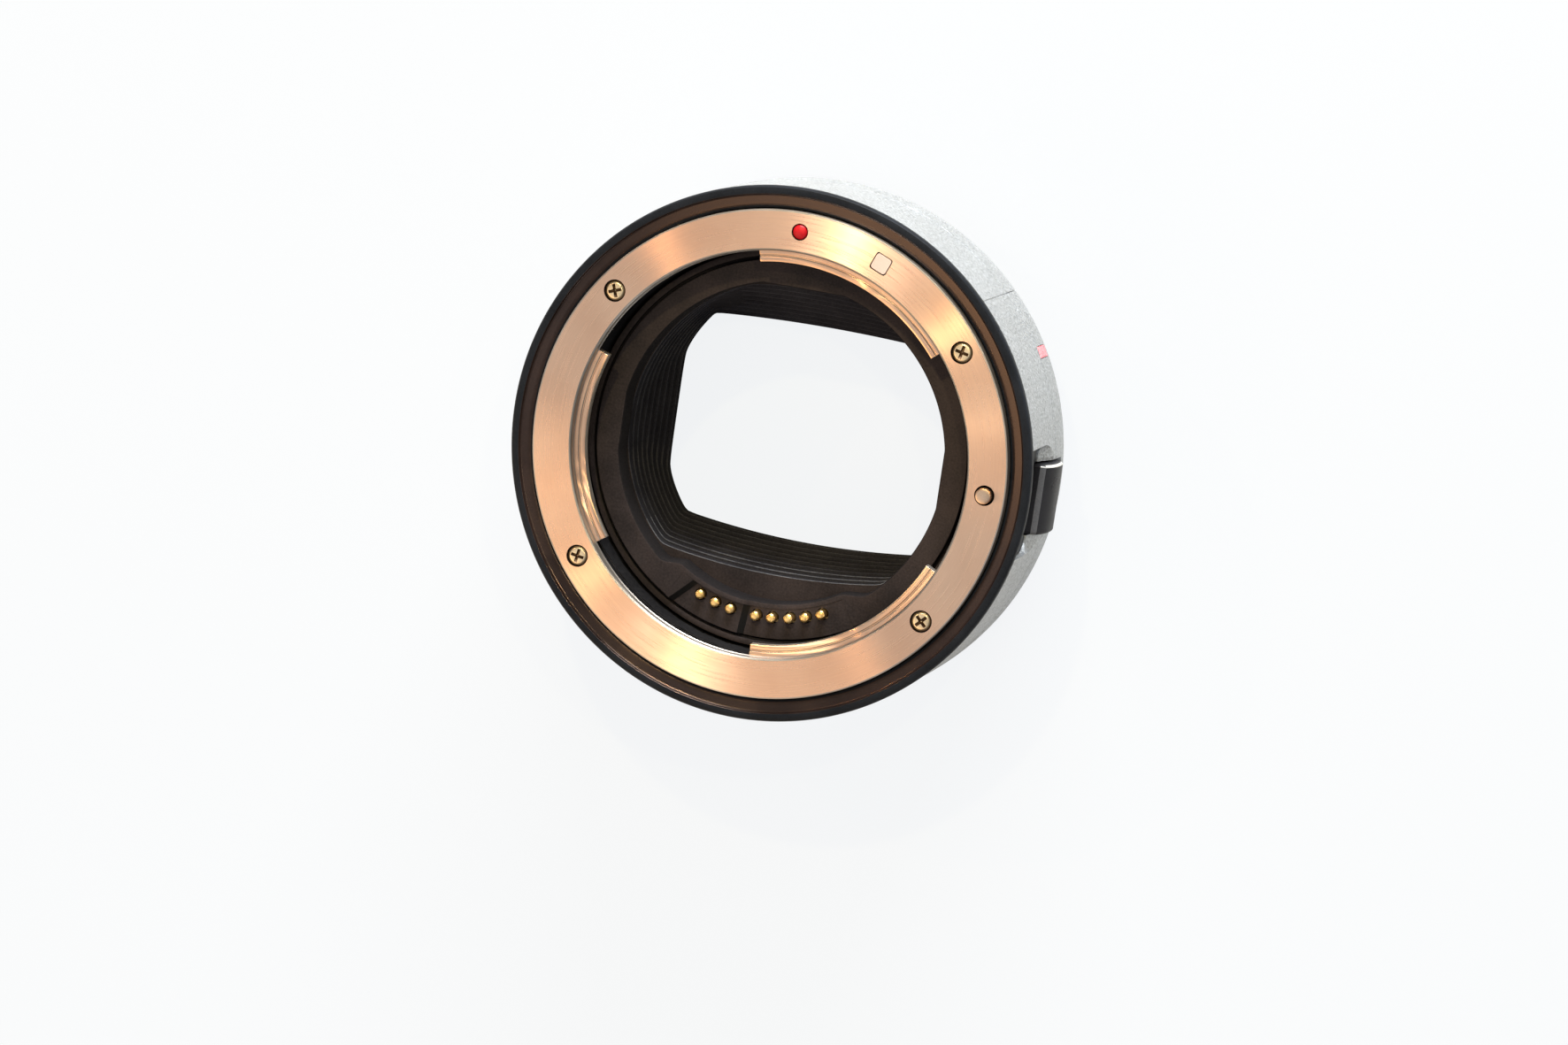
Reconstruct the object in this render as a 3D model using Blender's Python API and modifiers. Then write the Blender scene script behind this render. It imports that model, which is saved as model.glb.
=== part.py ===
"""Lens mount adapter: a barrel that carries an SLR lens on a mirrorless camera.

It lies on its camera side. Z is the optical axis and points to the lens, Y points to the red
index dot, and X points to the lock pin and its release lever. Z = 0 is the end of the rear
bayonet. Sizes below are in millimetres, and heights named DEPTH count down from the lens flange.
"""
import math

import bmesh
import bpy
from mathutils import Matrix

MM = 0.001
FULL_TURN = 360.0
HALF_TURN = 180.0
QUARTER_TURN = 90.0

# Interfaces of the two mounts
REGISTER = 24.0
BAYONET_LENGTH = 5.0
THROAT_R = 27.0
FIT = 0.25
CAMERA_Z = BAYONET_LENGTH
LENS_Z = CAMERA_Z + REGISTER

# Facets of turned pieces
ROUND_STEPS = 48
SMALL_STEPS = 8
HOLE_STEPS = 10
PIECE_STEPS = 10
OVERSHOOT = 1.0

# Lens mount ring
FLANGE_WIDTH = 5.4
FLANGE_THICK = 1.6
FLANGE_CHAMFER = 0.25
COLLAR_WALL = 0.9
COLLAR_DEPTH = 3.0
CLAW_REACH = 1.6
CLAW_DEPTH = 1.3
CLAW_THICK = 1.4
CLAW_ANGLES = ((-50.3, 11.5), (69.0, 126.0), (182.6, 245.1))
LEAF_THICK = 0.3
LEAF_REACH = 1.1
LEAF_WIDTH = 0.9
LEAF_SPAN = 40.0
LEAF_ROOT = 6.0

# Screws of both rings
SCREW_INSET = 2.78
LENS_SCREW_ANGLES = (53.0, 127.0, -127.0, -53.0)
CAMERA_SCREW_ANGLES = (45.0, 135.0, -135.0, -45.0)
HEAD_R = 1.35
HEAD_THICK = 0.6
HEAD_SINK = 0.08
HEAD_ROUND = 0.2
SHANK_R = 0.7
SHANK_LENGTH = 4.0
CAMERA_SHANK_LENGTH = 1.9
THREAD_END_GAP = 0.5
RECESS_REACH = 0.8
RECESS_WIDTH = 0.34
RECESS_DEPTH = 0.35
RECESS_TAPER = 0.8

# Index marks
DOT_R = 1.0
DOT_PROUD = 0.22
DOT_DEPTH = 0.3
SQUARE_SIDE = 2.25
SQUARE_CORNER = 0.38
SQUARE_ANGLE = -22.5
SQUARE_THICK = 0.35
MARK_ANGLE = -60.0
MARK_WIDTH = 1.6
MARK_LENGTH = 4.1
MARK_DEPTH = 15.6
MARK_THICK = 0.35

# Black front ring and silver shell
FLANGE_PLAY = 0.35
RIM_WIDTH = 1.0
RIM_DROP = 0.25
RIM_ROUND = 0.5
RIM_LIP = 0.25
RIM_LIP_SLOPE = 0.12
BAND_DEPTH = 1.5
BEVEL_DROP = 0.5
SLEEVE_WALL = 0.8
SLEEVE_DEPTH = 9.3
SLEEVE_STOCK = 0.6
SHELL_WALL = 1.7
TAPER_DEPTH = 19.7
TAPER_SPLIT = 0.55
TAPER_FULLNESS = 0.72
TAPER = 1.2
SHELL_END = 0.25
FLAT_SINK = 1.05
FLAT_HALF = 6.2
FLAT_FLARE = 2.4
FLAT_DEPTH = 14.5
PAD_SINK = 0.25
PAD_HALF = 7.0
PAD_CORNER = 2.6
PAD_LAP = 0.4

# Frame, inner ring and baffle
DECK_PLAY = 0.4
DECK_STEP = 3.8
FRAME_GAP = 0.3
FRAME_BORE_PLAY = 0.2
SEAT_DEPTH = 9.7
SEAT_PLAY = 0.2
SEAT_THICK = 1.1
FRAME_WALL = 2.35
FRAME_FLOOR = 2.6
FRAME_BORE_REACH = 1.0
RING_DEPTH = 6.5
RING_WIDTH = 3.1
RING_INSET = 1.7
RING_FOOT_DEPTH = 8.6
RING_PLATE = 1.1
SKIRT_WALL = 0.9
SKIRT_DEPTH = 10.4
RING_FOOT_PLAY = 0.1
BULGE_MARGIN = 2.0
LIP_REACH = 2.35
LIP_WIDTH = 1.15
BAFFLE_TOP_DEPTH = 10.7
BAFFLE_END_Z = 1.3
BAFFLE_WALL = 0.9
BAFFLE_FLANGE_WIDTH = 2.2
BAFFLE_FLANGE_STEP = 8.0
BAFFLE_LIP_GAP = 0.35
BAFFLE_STEPS = 8
BAFFLE_LEDGE = 0.22
LEDGE_SLOPE = 0.01
BAFFLE_POINTS = 56
FRONT_SIDE_MARGIN = 0.4
FRONT_TOP_INSET = 1.0
FRONT_BOTTOM_INSET = 2.75
FRONT_BOW_R = 75.0
REAR_ROUND_INSET = 1.95
REAR_SIDE_INSET = 1.5
REAR_TOP_INSET = 7.1
REAR_BOTTOM_INSET = 2.2
REAR_BOW_R = 210.0

# Lens contacts
PIN_OFFSETS = (-8.19, -5.90, -3.66, -0.08, 2.13, 4.53, 6.77, 9.05)
PIN_INSET = 2.7
PIN_R = 0.6
PIN_DOME = 0.6
PIN_TIP_DEPTH = 6.0
PIN_SHOULDER_R = 0.8
PIN_SHOULDER_DEPTH = 8.8
PIN_SHOULDER_THICK = 0.4
PIN_TAIL_R = 0.3
PIN_TAIL_DEPTH = 10.6
PIN_SPRING_R = 0.62
PIN_SPRING_WIRE_R = 0.11
PIN_SPRING_TURNS = 2.5
BLOCK_ENDS = (-11.8, 12.4)
BLOCK_HIGH_DEPTH = 6.9
BLOCK_LOW_DEPTH = 7.4
BLOCK_STEP_X = -2.0
BLOCK_RAMP = 0.8
BLOCK_FOOT_R = 0.8
BLOCK_FOOT_MARGIN = 3.0
BLOCK_BOTTOM_DEPTH = 9.6
BLOCK_INSET = 0.3
BOARD_DEPTH = 11.9
BOARD_THICK = 0.6
BOARD_PLAY = 0.3
FLEX_INSET = 1.25
FLEX_HALF = 5.5
FLEX_THICK = 0.3

# Camera mount ring
REAR_LIP = 0.8
REAR_FLANGE_THICK = 1.4
TUBE_INSET = 1.8
TUBE_WALL = 1.1
LUG_REACH = 1.5
LUG_THICK = 1.3
LUG_RISE = 0.15
LUG_ANGLES = ((-32.0, 32.0), (92.0, 146.0), (214.0, 268.0))
LOCK_HOLE_R = 1.4
LOCK_HOLE_ANGLE = 105.0
REAR_BLOCK_TOP = 0.5
REAR_BLOCK_REACH = 7.85
REAR_BLOCK_Z = 0.8
PAD_COUNT = 12
PAD_PITCH = 4.6
PAD_INSET = 3.3
PAD_WIDTH = 0.9
PAD_LENGTH = 1.9
PAD_THICK = 0.3
PAD_GAP = 0.15

# Lens release
LEVER_Y = -0.7
LEVER_HALF = 4.7
LEVER_FRONT_DEPTH = 8.8
LEVER_LENGTH = 7.8
LEVER_SINK = 3.5
LEVER_FOOT_SINK = 0.4
LEVER_CROWN = ((0.3, 0.55), (0.7, 2.6), (0.85, 5.2), (0.8, 7.3), (0.45, 7.8))
LEVER_EDGE = 0.45
APRON_THICK = 0.9
APRON_LENGTH = 2.7
RELEASE_TRAVEL = 1.8
SLOT_FRONT_GAP = 0.8
SLOT_CORNER = 0.8
LOCK_PIN_R = 1.05
LOCK_PIN_INSET = 2.62
LOCK_PIN_PROUD = 1.0
LOCK_PIN_PLAY = 0.3
LOCK_PIN_EDGE = 0.2
LOCK_PIN_TAIL_R = 0.6
LOCK_PIN_RIVET = 0.3
POCKET_WALL = 0.9
POCKET_DEPTH = 5.2
POCKET_FLOOR = 0.2
CHANNEL_PLAY = 0.4
SLIDER_DEPTH = 6.4
SLIDER_SHEET = 0.8
SLIDER_HALF = 3.4
SLIDER_ARM = 2.6
TAB_DEPTH = 13.0
TAB_TAIL = 2.0
RELEASE_SPRING_INSET = 2.5
RELEASE_SPRING_OFFSET = 2.0
RELEASE_SPRING_R = 0.95
RELEASE_SPRING_WIRE_R = 0.18
RELEASE_SPRING_TURNS = 4.5
POST_R = 0.5
POST_HEIGHT = 2.7
POST_ROOT = 0.8
LEVER_SCREW_DEPTH = 10.2
LEVER_SCREW_OFFSET = 1.9
LEVER_SCREW_HEAD_R = 1.0
LEVER_SCREW_R = 0.6
LEVER_SCREW_LENGTH = 2.6

# Sizes that follow from the ones above
FLANGE_R = THROAT_R + FLANGE_WIDTH
SLEEVE_BORE_R = FLANGE_R + FLANGE_PLAY
SLEEVE_R = SLEEVE_BORE_R + SLEEVE_WALL
SHELL_BORE_R = SLEEVE_R + FIT
BODY_R = SHELL_BORE_R + SHELL_WALL
RIM_R = BODY_R - RIM_WIDTH
REAR_R = BODY_R - TAPER
FLAT_X = BODY_R - FLAT_SINK
PAD_X = FLAT_X - PAD_SINK
REAR_FLANGE_R = SHELL_BORE_R - REAR_LIP
TUBE_R = THROAT_R - TUBE_INSET
LUG_R = TUBE_R + LUG_REACH
REAR_FILL_R = TUBE_R - TUBE_WALL - FIT
REAR_BLOCK_Y = REAR_BLOCK_REACH - REAR_FILL_R
PAD_CIRCLE_R = TUBE_R - PAD_INSET
COLLAR_R = THROAT_R + COLLAR_WALL
DECK_R = COLLAR_R + DECK_PLAY
CLAW_R = THROAT_R - CLAW_REACH
SCREW_CIRCLE_R = THROAT_R + SCREW_INSET
FRAME_FRONT_R = SLEEVE_BORE_R - DECK_PLAY
FRAME_BOTTOM_Z = CAMERA_Z + REAR_FLANGE_THICK + FRAME_GAP
FRAME_DECK_Z = FRAME_BOTTOM_Z + FRAME_FLOOR
LEVER_BACK_DEPTH = LEVER_FRONT_DEPTH + LEVER_LENGTH
SLOT_BACK_DEPTH = LEVER_BACK_DEPTH + RELEASE_TRAVEL + FIT
LEVER_SCREW_PLACES = (LEVER_Y - LEVER_SCREW_OFFSET, LEVER_Y + LEVER_SCREW_OFFSET)
RING_FACE_R = THROAT_R - RING_INSET
RING_OPENING_R = RING_FACE_R - RING_WIDTH
SEAT_R = RING_FACE_R + SEAT_PLAY
LIP_R = RING_OPENING_R - LIP_REACH
LIP_OUTER_R = LIP_R + LIP_WIDTH
PIN_CIRCLE_R = LIP_R + PIN_INSET
PIN_ANGLES = [HALF_TURN + math.degrees(offset / PIN_CIRCLE_R) for offset in PIN_OFFSETS]
BLOCK_ANGLES = [HALF_TURN + math.degrees(end / PIN_CIRCLE_R) for end in BLOCK_ENDS]
BLOCK_OUTER_R = RING_FACE_R - BLOCK_INSET
BOARD_INNER_R = LIP_OUTER_R + BOARD_PLAY
BAFFLE_FLANGE_R = RING_OPENING_R + BAFFLE_FLANGE_WIDTH
FRAME_OUTER_R = SHELL_BORE_R - FIT
FRAME_WALL_R = FRAME_OUTER_R - FRAME_WALL
FRAME_BORE_R = TUBE_R + FRAME_BORE_REACH
LEVER_INNER_X = BODY_R - LEVER_SINK
LEVER_FOOT_X = BODY_R - LEVER_FOOT_SINK
LOCK_PIN_X = THROAT_R + LOCK_PIN_INSET
POCKET_X = THROAT_R + POCKET_WALL
RELEASE_SPRING_X = THROAT_R + RELEASE_SPRING_INSET
BEYOND = BODY_R + OVERSHOOT
BAFFLE_FRONT = {
    "round": RING_OPENING_R, "side": RING_OPENING_R + FRONT_SIDE_MARGIN,
    "top": RING_OPENING_R - FRONT_TOP_INSET, "bottom": LIP_R - FRONT_BOTTOM_INSET, "bow": FRONT_BOW_R}
REAR_ROUND_R = REAR_FILL_R - REAR_ROUND_INSET
BAFFLE_REAR = {
    "round": REAR_ROUND_R, "side": REAR_ROUND_R - REAR_SIDE_INSET, "top": REAR_ROUND_R - REAR_TOP_INSET,
    "bottom": -REAR_BLOCK_Y - REAR_BOTTOM_INSET, "bow": REAR_BOW_R}


def below(depth):
    """Height of a point that lies this far under the lens flange."""
    return LENS_Z - depth


def on_circle(radius, angle):
    """Point at an angle in degrees from +Y, counted toward -X."""
    turn = math.radians(angle)
    return (-radius * math.sin(turn), radius * math.cos(turn))


def clear_scene():
    for obj in list(bpy.data.objects):
        bpy.data.objects.remove(obj, do_unlink=True)


def new_collection(name):
    collection = bpy.data.collections.new(name)
    bpy.context.scene.collection.children.link(collection)
    return collection


def new_material(name, colour, roughness, metallic=0.0):
    material = bpy.data.materials.new(name)
    material.use_nodes = True
    shader = material.node_tree.nodes["Principled BSDF"]
    shader.inputs["Base Color"].default_value = (*colour, 1.0)
    shader.inputs["Roughness"].default_value = roughness
    shader.inputs["Metallic"].default_value = metallic
    return material


clear_scene()
PARTS = new_collection("lens_mount_adapter")
CUTTERS = new_collection("cutters")

CHROME = new_material("brushed_chrome", (0.80, 0.68, 0.56), 0.28, 1.0)
SPRING_STEEL = new_material("spring_steel", (0.55, 0.55, 0.56), 0.35, 1.0)
SCREW_METAL = new_material("screw_plating", (0.72, 0.58, 0.42), 0.35, 1.0)
RED_ENAMEL = new_material("red_enamel", (0.55, 0.01, 0.01), 0.15)
WHITE_PAINT = new_material("white_paint", (0.85, 0.80, 0.78), 0.45)
BLACK_PAINT = new_material("black_paint", (0.03, 0.035, 0.04), 0.45)
SILVER_PAINT = new_material("silver_paint", (0.42, 0.43, 0.43), 0.42, 0.6)
CAST_ALLOY = new_material("cast_alloy", (0.10, 0.10, 0.10), 0.6, 0.5)
BLACK_PLASTIC = new_material("black_plastic", (0.035, 0.028, 0.024), 0.6)
BAFFLE_BLACK = new_material("baffle_black", (0.012, 0.012, 0.014), 0.7)
GOLD = new_material("gold_plating", (0.90, 0.62, 0.22), 0.22, 1.0)
BOARD_GREEN = new_material("board_laminate", (0.05, 0.16, 0.08), 0.5)
FLEX_AMBER = new_material("flex_film", (0.45, 0.24, 0.05), 0.4)
LEVER_BLACK = new_material("lever_black", (0.03, 0.03, 0.033), 0.35)
STEEL = new_material("polished_steel", (0.70, 0.67, 0.62), 0.25, 1.0)


def add_object(name, mesh, material=None, at=(0.0, 0.0, 0.0)):
    """Put a mesh in the scene, as a part when it has a material and as a cutter when not."""
    obj = bpy.data.objects.new(name, mesh)
    obj.location = [value * MM for value in at]
    if material is None:
        CUTTERS.objects.link(obj)
        obj.hide_render = True
        obj.display_type = "WIRE"
    else:
        PARTS.objects.link(obj)
        mesh.materials.append(material)
    return obj


def finish_mesh(name, bm):
    mesh = bpy.data.meshes.new(name)
    bm.to_mesh(mesh)
    bm.free()
    return mesh


def smooth(obj, angle=35.0):
    obj.data.shade_smooth()
    obj.data.set_sharp_from_angle(angle=math.radians(angle))


def turned(name, profile, material=None, at=(0.0, 0.0, 0.0), steps=ROUND_STEPS, closed=True):
    """Turn a profile of (radius, height) points about Z; its outer side runs top to bottom."""
    bm = bmesh.new()
    points = [bm.verts.new((radius * MM, 0.0, height * MM)) for radius, height in profile]
    for first, second in zip(points, points[1:]):
        bm.edges.new((first, second))
    if closed:
        bm.edges.new((points[-1], points[0]))
    obj = add_object(name, finish_mesh(name, bm), material, at)
    screw = obj.modifiers.new("turn", "SCREW")
    screw.axis = "Z"
    screw.steps = steps
    screw.render_steps = steps
    screw.use_merge_vertices = True
    screw.merge_threshold = 0.00001
    screw.use_smooth_shade = True
    return obj


def flat_mesh(name, loops, thickness):
    """Mesh of a flat outline, with holes, extruded evenly to both sides of its plane."""
    curve = bpy.data.curves.new(name, "CURVE")
    curve.dimensions = "2D"
    curve.fill_mode = "BOTH"
    curve.extrude = thickness / 2 * MM
    for loop in loops:
        spline = curve.splines.new("POLY")
        spline.points.add(len(loop) - 1)
        for point, (x, y) in zip(spline.points, loop):
            point.co = (x * MM, y * MM, 0.0, 1.0)
        spline.use_cyclic_u = True
    holder = bpy.data.objects.new(name, curve)
    CUTTERS.objects.link(holder)
    graph = bpy.context.evaluated_depsgraph_get()
    mesh = bpy.data.meshes.new_from_object(holder.evaluated_get(graph))
    bpy.data.objects.remove(holder, do_unlink=True)
    bm = bmesh.new()
    bm.from_mesh(mesh)
    bmesh.ops.remove_doubles(bm, verts=bm.verts, dist=0.000001)
    bmesh.ops.recalc_face_normals(bm, faces=bm.faces)
    bm.to_mesh(mesh)
    bm.free()
    return mesh


def plate(name, loops, low, high, material=None, at=(0.0, 0.0)):
    """Flat outline in X and Y that stands between two heights."""
    mesh = flat_mesh(name, loops, high - low)
    return add_object(name, mesh, material, (at[0], at[1], (low + high) / 2))


def side_plate(name, loop, low, high, material=None, at=(0.0, 0.0, 0.0)):
    """Flat outline in X and Z that runs between two places on Y."""
    mesh = flat_mesh(name, [loop], high - low)
    mesh.transform(Matrix.Rotation(math.radians(QUARTER_TURN), 4, "X"))
    mesh.transform(Matrix.Translation((0.0, (low + high) / 2 * MM, 0.0)))
    return add_object(name, mesh, material, at)


def end_plate(name, loop, low, high, material=None, at=(0.0, 0.0, 0.0)):
    """Flat outline in Y and Z that runs between two places on X."""
    mesh = flat_mesh(name, [loop], high - low)
    mesh.transform(Matrix.Rotation(math.radians(QUARTER_TURN), 4, "X"))
    mesh.transform(Matrix.Rotation(math.radians(QUARTER_TURN), 4, "Z"))
    mesh.transform(Matrix.Translation(((low + high) / 2 * MM, 0.0, 0.0)))
    return add_object(name, mesh, material, at)


def box(name, low, high, material=None, at=(0.0, 0.0, 0.0)):
    bm = bmesh.new()
    size = [(b - a) * MM for a, b in zip(low, high)]
    middle = [(a + b) / 2 * MM for a, b in zip(low, high)]
    matrix = Matrix.Translation(middle) @ Matrix.Diagonal((*size, 1.0))
    bmesh.ops.create_cube(bm, size=1.0, matrix=matrix)
    return add_object(name, finish_mesh(name, bm), material, at)


def rods(name, places, radius, low, high, steps=HOLE_STEPS, material=None):
    """Upright cylinders, one at each (x, y)."""
    bm = bmesh.new()
    for x, y in places:
        matrix = Matrix.Translation((x * MM, y * MM, (low + high) / 2 * MM))
        bmesh.ops.create_cone(
            bm, cap_ends=True, segments=steps, radius1=radius * MM, radius2=radius * MM,
            depth=(high - low) * MM, matrix=matrix)
    return add_object(name, finish_mesh(name, bm), material)


def combine(obj, other, operation):
    change = obj.modifiers.new(other.name, "BOOLEAN")
    change.operation = operation
    change.solver = "EXACT"
    change.object = other


def cut(obj, other):
    combine(obj, other, "DIFFERENCE")


def join(obj, other):
    combine(obj, other, "UNION")


def bevel(obj, width, segments=1, angle=40.0):
    edge = obj.modifiers.new("edge", "BEVEL")
    edge.width = width * MM
    edge.segments = segments
    edge.limit_method = "ANGLE"
    edge.angle_limit = math.radians(angle)


def arc(radius, start, end, count):
    return [on_circle(radius, start + (end - start) * i / count) for i in range(count + 1)]


def arc_band(inner, outer, start, end, count):
    """Outline of a piece of a ring between two angles."""
    return arc(outer, start, end, count) + arc(inner, end, start, count)


def circle(radius, count):
    return [on_circle(radius, FULL_TURN * i / count) for i in range(count)]


def rounded(points, radius, count=3, sharp=()):
    """Outline with its corners, but for the sharp ones, replaced by arcs tangent to both sides."""
    outline = []
    for index, corner in enumerate(points):
        if index in sharp:
            outline.append(corner)
            continue
        before = points[index - 1]
        after = points[(index + 1) % len(points)]
        ends = []
        for other in (before, after):
            dx = other[0] - corner[0]
            dy = other[1] - corner[1]
            length = math.hypot(dx, dy)
            reach = min(radius, length / 2)
            ends.append((corner[0] + dx / length * reach, corner[1] + dy / length * reach))
        for step in range(count + 1):
            t = step / count
            weights = ((1 - t) ** 2, 2 * t * (1 - t), t ** 2)
            outline.append(tuple(
                weights[0] * ends[0][k] + weights[1] * corner[k] + weights[2] * ends[1][k]
                for k in (0, 1)))
    return outline


def quarter(outer, top, width, drop, count=3):
    """Profile points that roll from a flat top into an upright side at the outer radius."""
    points = []
    for step in range(count + 1):
        turn = math.pi / 2 * step / count
        points.append((outer - width * (1 - math.sin(turn)), top - drop * (1 - math.cos(turn))))
    return points


def helix(name, radius, wire, low, high, turns, material, at, per_turn=6):
    """Round wire wound about Z, with its first and last coil at the two heights."""
    curve = bpy.data.curves.new(name, "CURVE")
    curve.dimensions = "3D"
    curve.bevel_depth = wire * MM
    curve.bevel_resolution = 0
    curve.use_fill_caps = True
    count = int(turns * per_turn)
    spline = curve.splines.new("POLY")
    spline.points.add(count)
    rise = (high - low - 2 * wire) / count
    for index, point in enumerate(spline.points):
        x, y = on_circle(radius, FULL_TURN * index / per_turn)
        point.co = (x * MM, y * MM, (low + wire + rise * index) * MM, 1.0)
    obj = bpy.data.objects.new(name, curve)
    obj.location = [value * MM for value in at]
    PARTS.objects.link(obj)
    curve.materials.append(material)
    return obj


def screw(name, at, head_r, shank_r, length, head_thick=HEAD_THICK, up=1):
    """Cross recess screw; its head's top is the origin and its shank runs away from it."""
    profile = [
        (0.0, 0.0), (head_r - HEAD_ROUND, 0.0), (head_r, -HEAD_ROUND), (head_r, -head_thick),
        (shank_r, -head_thick), (shank_r, -head_thick - length), (0.0, -head_thick - length)]
    obj = turned(name, profile, SCREW_METAL, at, SMALL_STEPS, closed=False)
    a = min(RECESS_REACH, head_r - HEAD_ROUND)
    b = RECESS_WIDTH / 2
    tip = b * RECESS_TAPER
    cross = [
        (a, -tip), (a, tip), (b, b), (tip, a), (-tip, a), (-b, b),
        (-a, tip), (-a, -tip), (-b, -b), (-tip, -a), (tip, -a), (b, -b)]
    recess = plate(name + "_recess", [cross], -RECESS_DEPTH, RECESS_DEPTH)
    recess.parent = obj
    cut(obj, recess)
    if up < 0:
        obj.rotation_euler = (math.pi, 0.0, 0.0)
    return obj


def lens_mount_ring():
    """Chromed brass ring with three claws behind its flange, milled for screws and marks."""
    chamfer = FLANGE_CHAMFER
    profile = [
        (FLANGE_R - chamfer, LENS_Z), (FLANGE_R, below(chamfer)), (FLANGE_R, below(FLANGE_THICK)),
        (COLLAR_R, below(FLANGE_THICK)), (COLLAR_R, below(COLLAR_DEPTH)),
        (THROAT_R, below(COLLAR_DEPTH)), (THROAT_R, below(chamfer)), (THROAT_R + chamfer, LENS_Z)]
    ring = turned("front_mount_ring", profile, CHROME)
    for number, (start, end) in enumerate(CLAW_ANGLES, 1):
        outline = arc_band(CLAW_R, THROAT_R + COLLAR_WALL / 2, start, end, PIECE_STEPS)
        claw = plate(f"claw_{number}", [outline], below(CLAW_DEPTH + CLAW_THICK), below(CLAW_DEPTH))
        join(ring, claw)
    places = [on_circle(SCREW_CIRCLE_R, angle) for angle in LENS_SCREW_ANGLES]
    sink = HEAD_SINK + HEAD_THICK + FIT
    over = LENS_Z + OVERSHOOT
    cut(ring, rods("lens_screw_heads", places, HEAD_R + FIT, below(sink), over))
    through = below(FLANGE_THICK + OVERSHOOT)
    cut(ring, rods("lens_screw_holes", places, SHANK_R + FIT, through, over))
    cut(ring, rods("lock_pin_hole", [(LOCK_PIN_X, 0.0)], LOCK_PIN_R + LOCK_PIN_PLAY, through, over))
    cut(ring, rods("dot_pocket", [(0.0, SCREW_CIRCLE_R)], DOT_R + FIT, below(DOT_DEPTH + FIT), over))
    side = SQUARE_SIDE + 2 * FIT
    pocket = plate("square_pocket", [square_outline(side)], below(SQUARE_THICK + FIT), over,
                   at=on_circle(SCREW_CIRCLE_R, SQUARE_ANGLE))
    pocket.rotation_euler = (0.0, 0.0, math.radians(SQUARE_ANGLE))
    cut(ring, pocket)


def square_outline(side):
    half = side / 2
    corners = [(-half, -half), (half, -half), (half, half), (-half, half)]
    return rounded(corners, SQUARE_CORNER, 2)


def index_marks():
    """Red dot and white square in the lens flange, and the red line on the shell."""
    profile = quarter(DOT_R, DOT_PROUD + DOT_DEPTH, DOT_R, DOT_PROUD)
    profile += [(DOT_R, 0.0), (0.0, 0.0)]
    turned("red_index_dot", profile, RED_ENAMEL, (0.0, SCREW_CIRCLE_R, below(DOT_DEPTH)),
           HOLE_STEPS, closed=False)
    square = plate("white_index_square", [square_outline(SQUARE_SIDE)], below(SQUARE_THICK), LENS_Z,
                   WHITE_PAINT, on_circle(SCREW_CIRCLE_R, SQUARE_ANGLE))
    square.rotation_euler = (0.0, 0.0, math.radians(SQUARE_ANGLE))
    mark = mark_outline(0.0, BODY_R - MARK_THICK, BODY_R)
    plate("barrel_index_mark", [mark], below(MARK_DEPTH + MARK_LENGTH), below(MARK_DEPTH), RED_ENAMEL)


def mark_outline(extra, inner, outer):
    half = math.degrees((MARK_WIDTH / 2 + extra) / BODY_R)
    return arc_band(inner, outer, MARK_ANGLE - half, MARK_ANGLE + half, 3)


def bayonet_spring():
    """Thin steel ring under the claws, with a leaf under each one that is free at one end."""
    inner = THROAT_R + FIT
    tip = THROAT_R - LEAF_REACH
    lows = [(start + end - LEAF_SPAN) / 2 for start, end in CLAW_ANGLES]
    loop = []
    for low, following in zip(lows, lows[1:] + [lows[0] + FULL_TURN]):
        high = low + LEAF_SPAN
        root = low + LEAF_ROOT
        loop += arc(tip, low, high, 6)
        loop += arc(tip + LEAF_WIDTH, high, root, 5)
        loop += arc(inner, root, following, PIECE_STEPS)
    outer = circle(COLLAR_R, ROUND_STEPS)
    top = below(COLLAR_DEPTH + FIT)
    plate("bayonet_spring", [outer, loop], top - LEAF_THICK, top, SPRING_STEEL)


def mount_screws():
    for number, angle in enumerate(LENS_SCREW_ANGLES, 1):
        x, y = on_circle(SCREW_CIRCLE_R, angle)
        screw(f"mount_screw_{number}", (x, y, below(HEAD_SINK)), HEAD_R, SHANK_R, SHANK_LENGTH)
    for number, angle in enumerate(CAMERA_SCREW_ANGLES, 1):
        x, y = on_circle(SCREW_CIRCLE_R, angle)
        screw(f"rear_screw_{number}", (x, y, CAMERA_Z + HEAD_SINK), HEAD_R, SHANK_R,
              CAMERA_SHANK_LENGTH, up=-1)


def notch_outline(grow):
    """Open window at the front edge of the shell, as (y, z) points."""
    half = PAD_HALF + grow
    low = below(SLEEVE_DEPTH + grow)
    high = below(BAND_DEPTH - PAD_LAP)
    corners = [(LEVER_Y - half, high), (LEVER_Y - half, low), (LEVER_Y + half, low),
               (LEVER_Y + half, high)]
    return rounded(corners, PAD_CORNER, sharp=(0, 3))


def slot_outline(grow=0.0):
    """Opening that the lever slides in, as (y, z) points."""
    half = LEVER_HALF + FIT + grow
    high = below(LEVER_FRONT_DEPTH - SLOT_FRONT_GAP)
    low = below(SLOT_BACK_DEPTH)
    corners = [(LEVER_Y - half, low), (LEVER_Y + half, low), (LEVER_Y + half, high),
               (LEVER_Y - half, high)]
    return rounded(corners, SLOT_CORNER)


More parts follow.
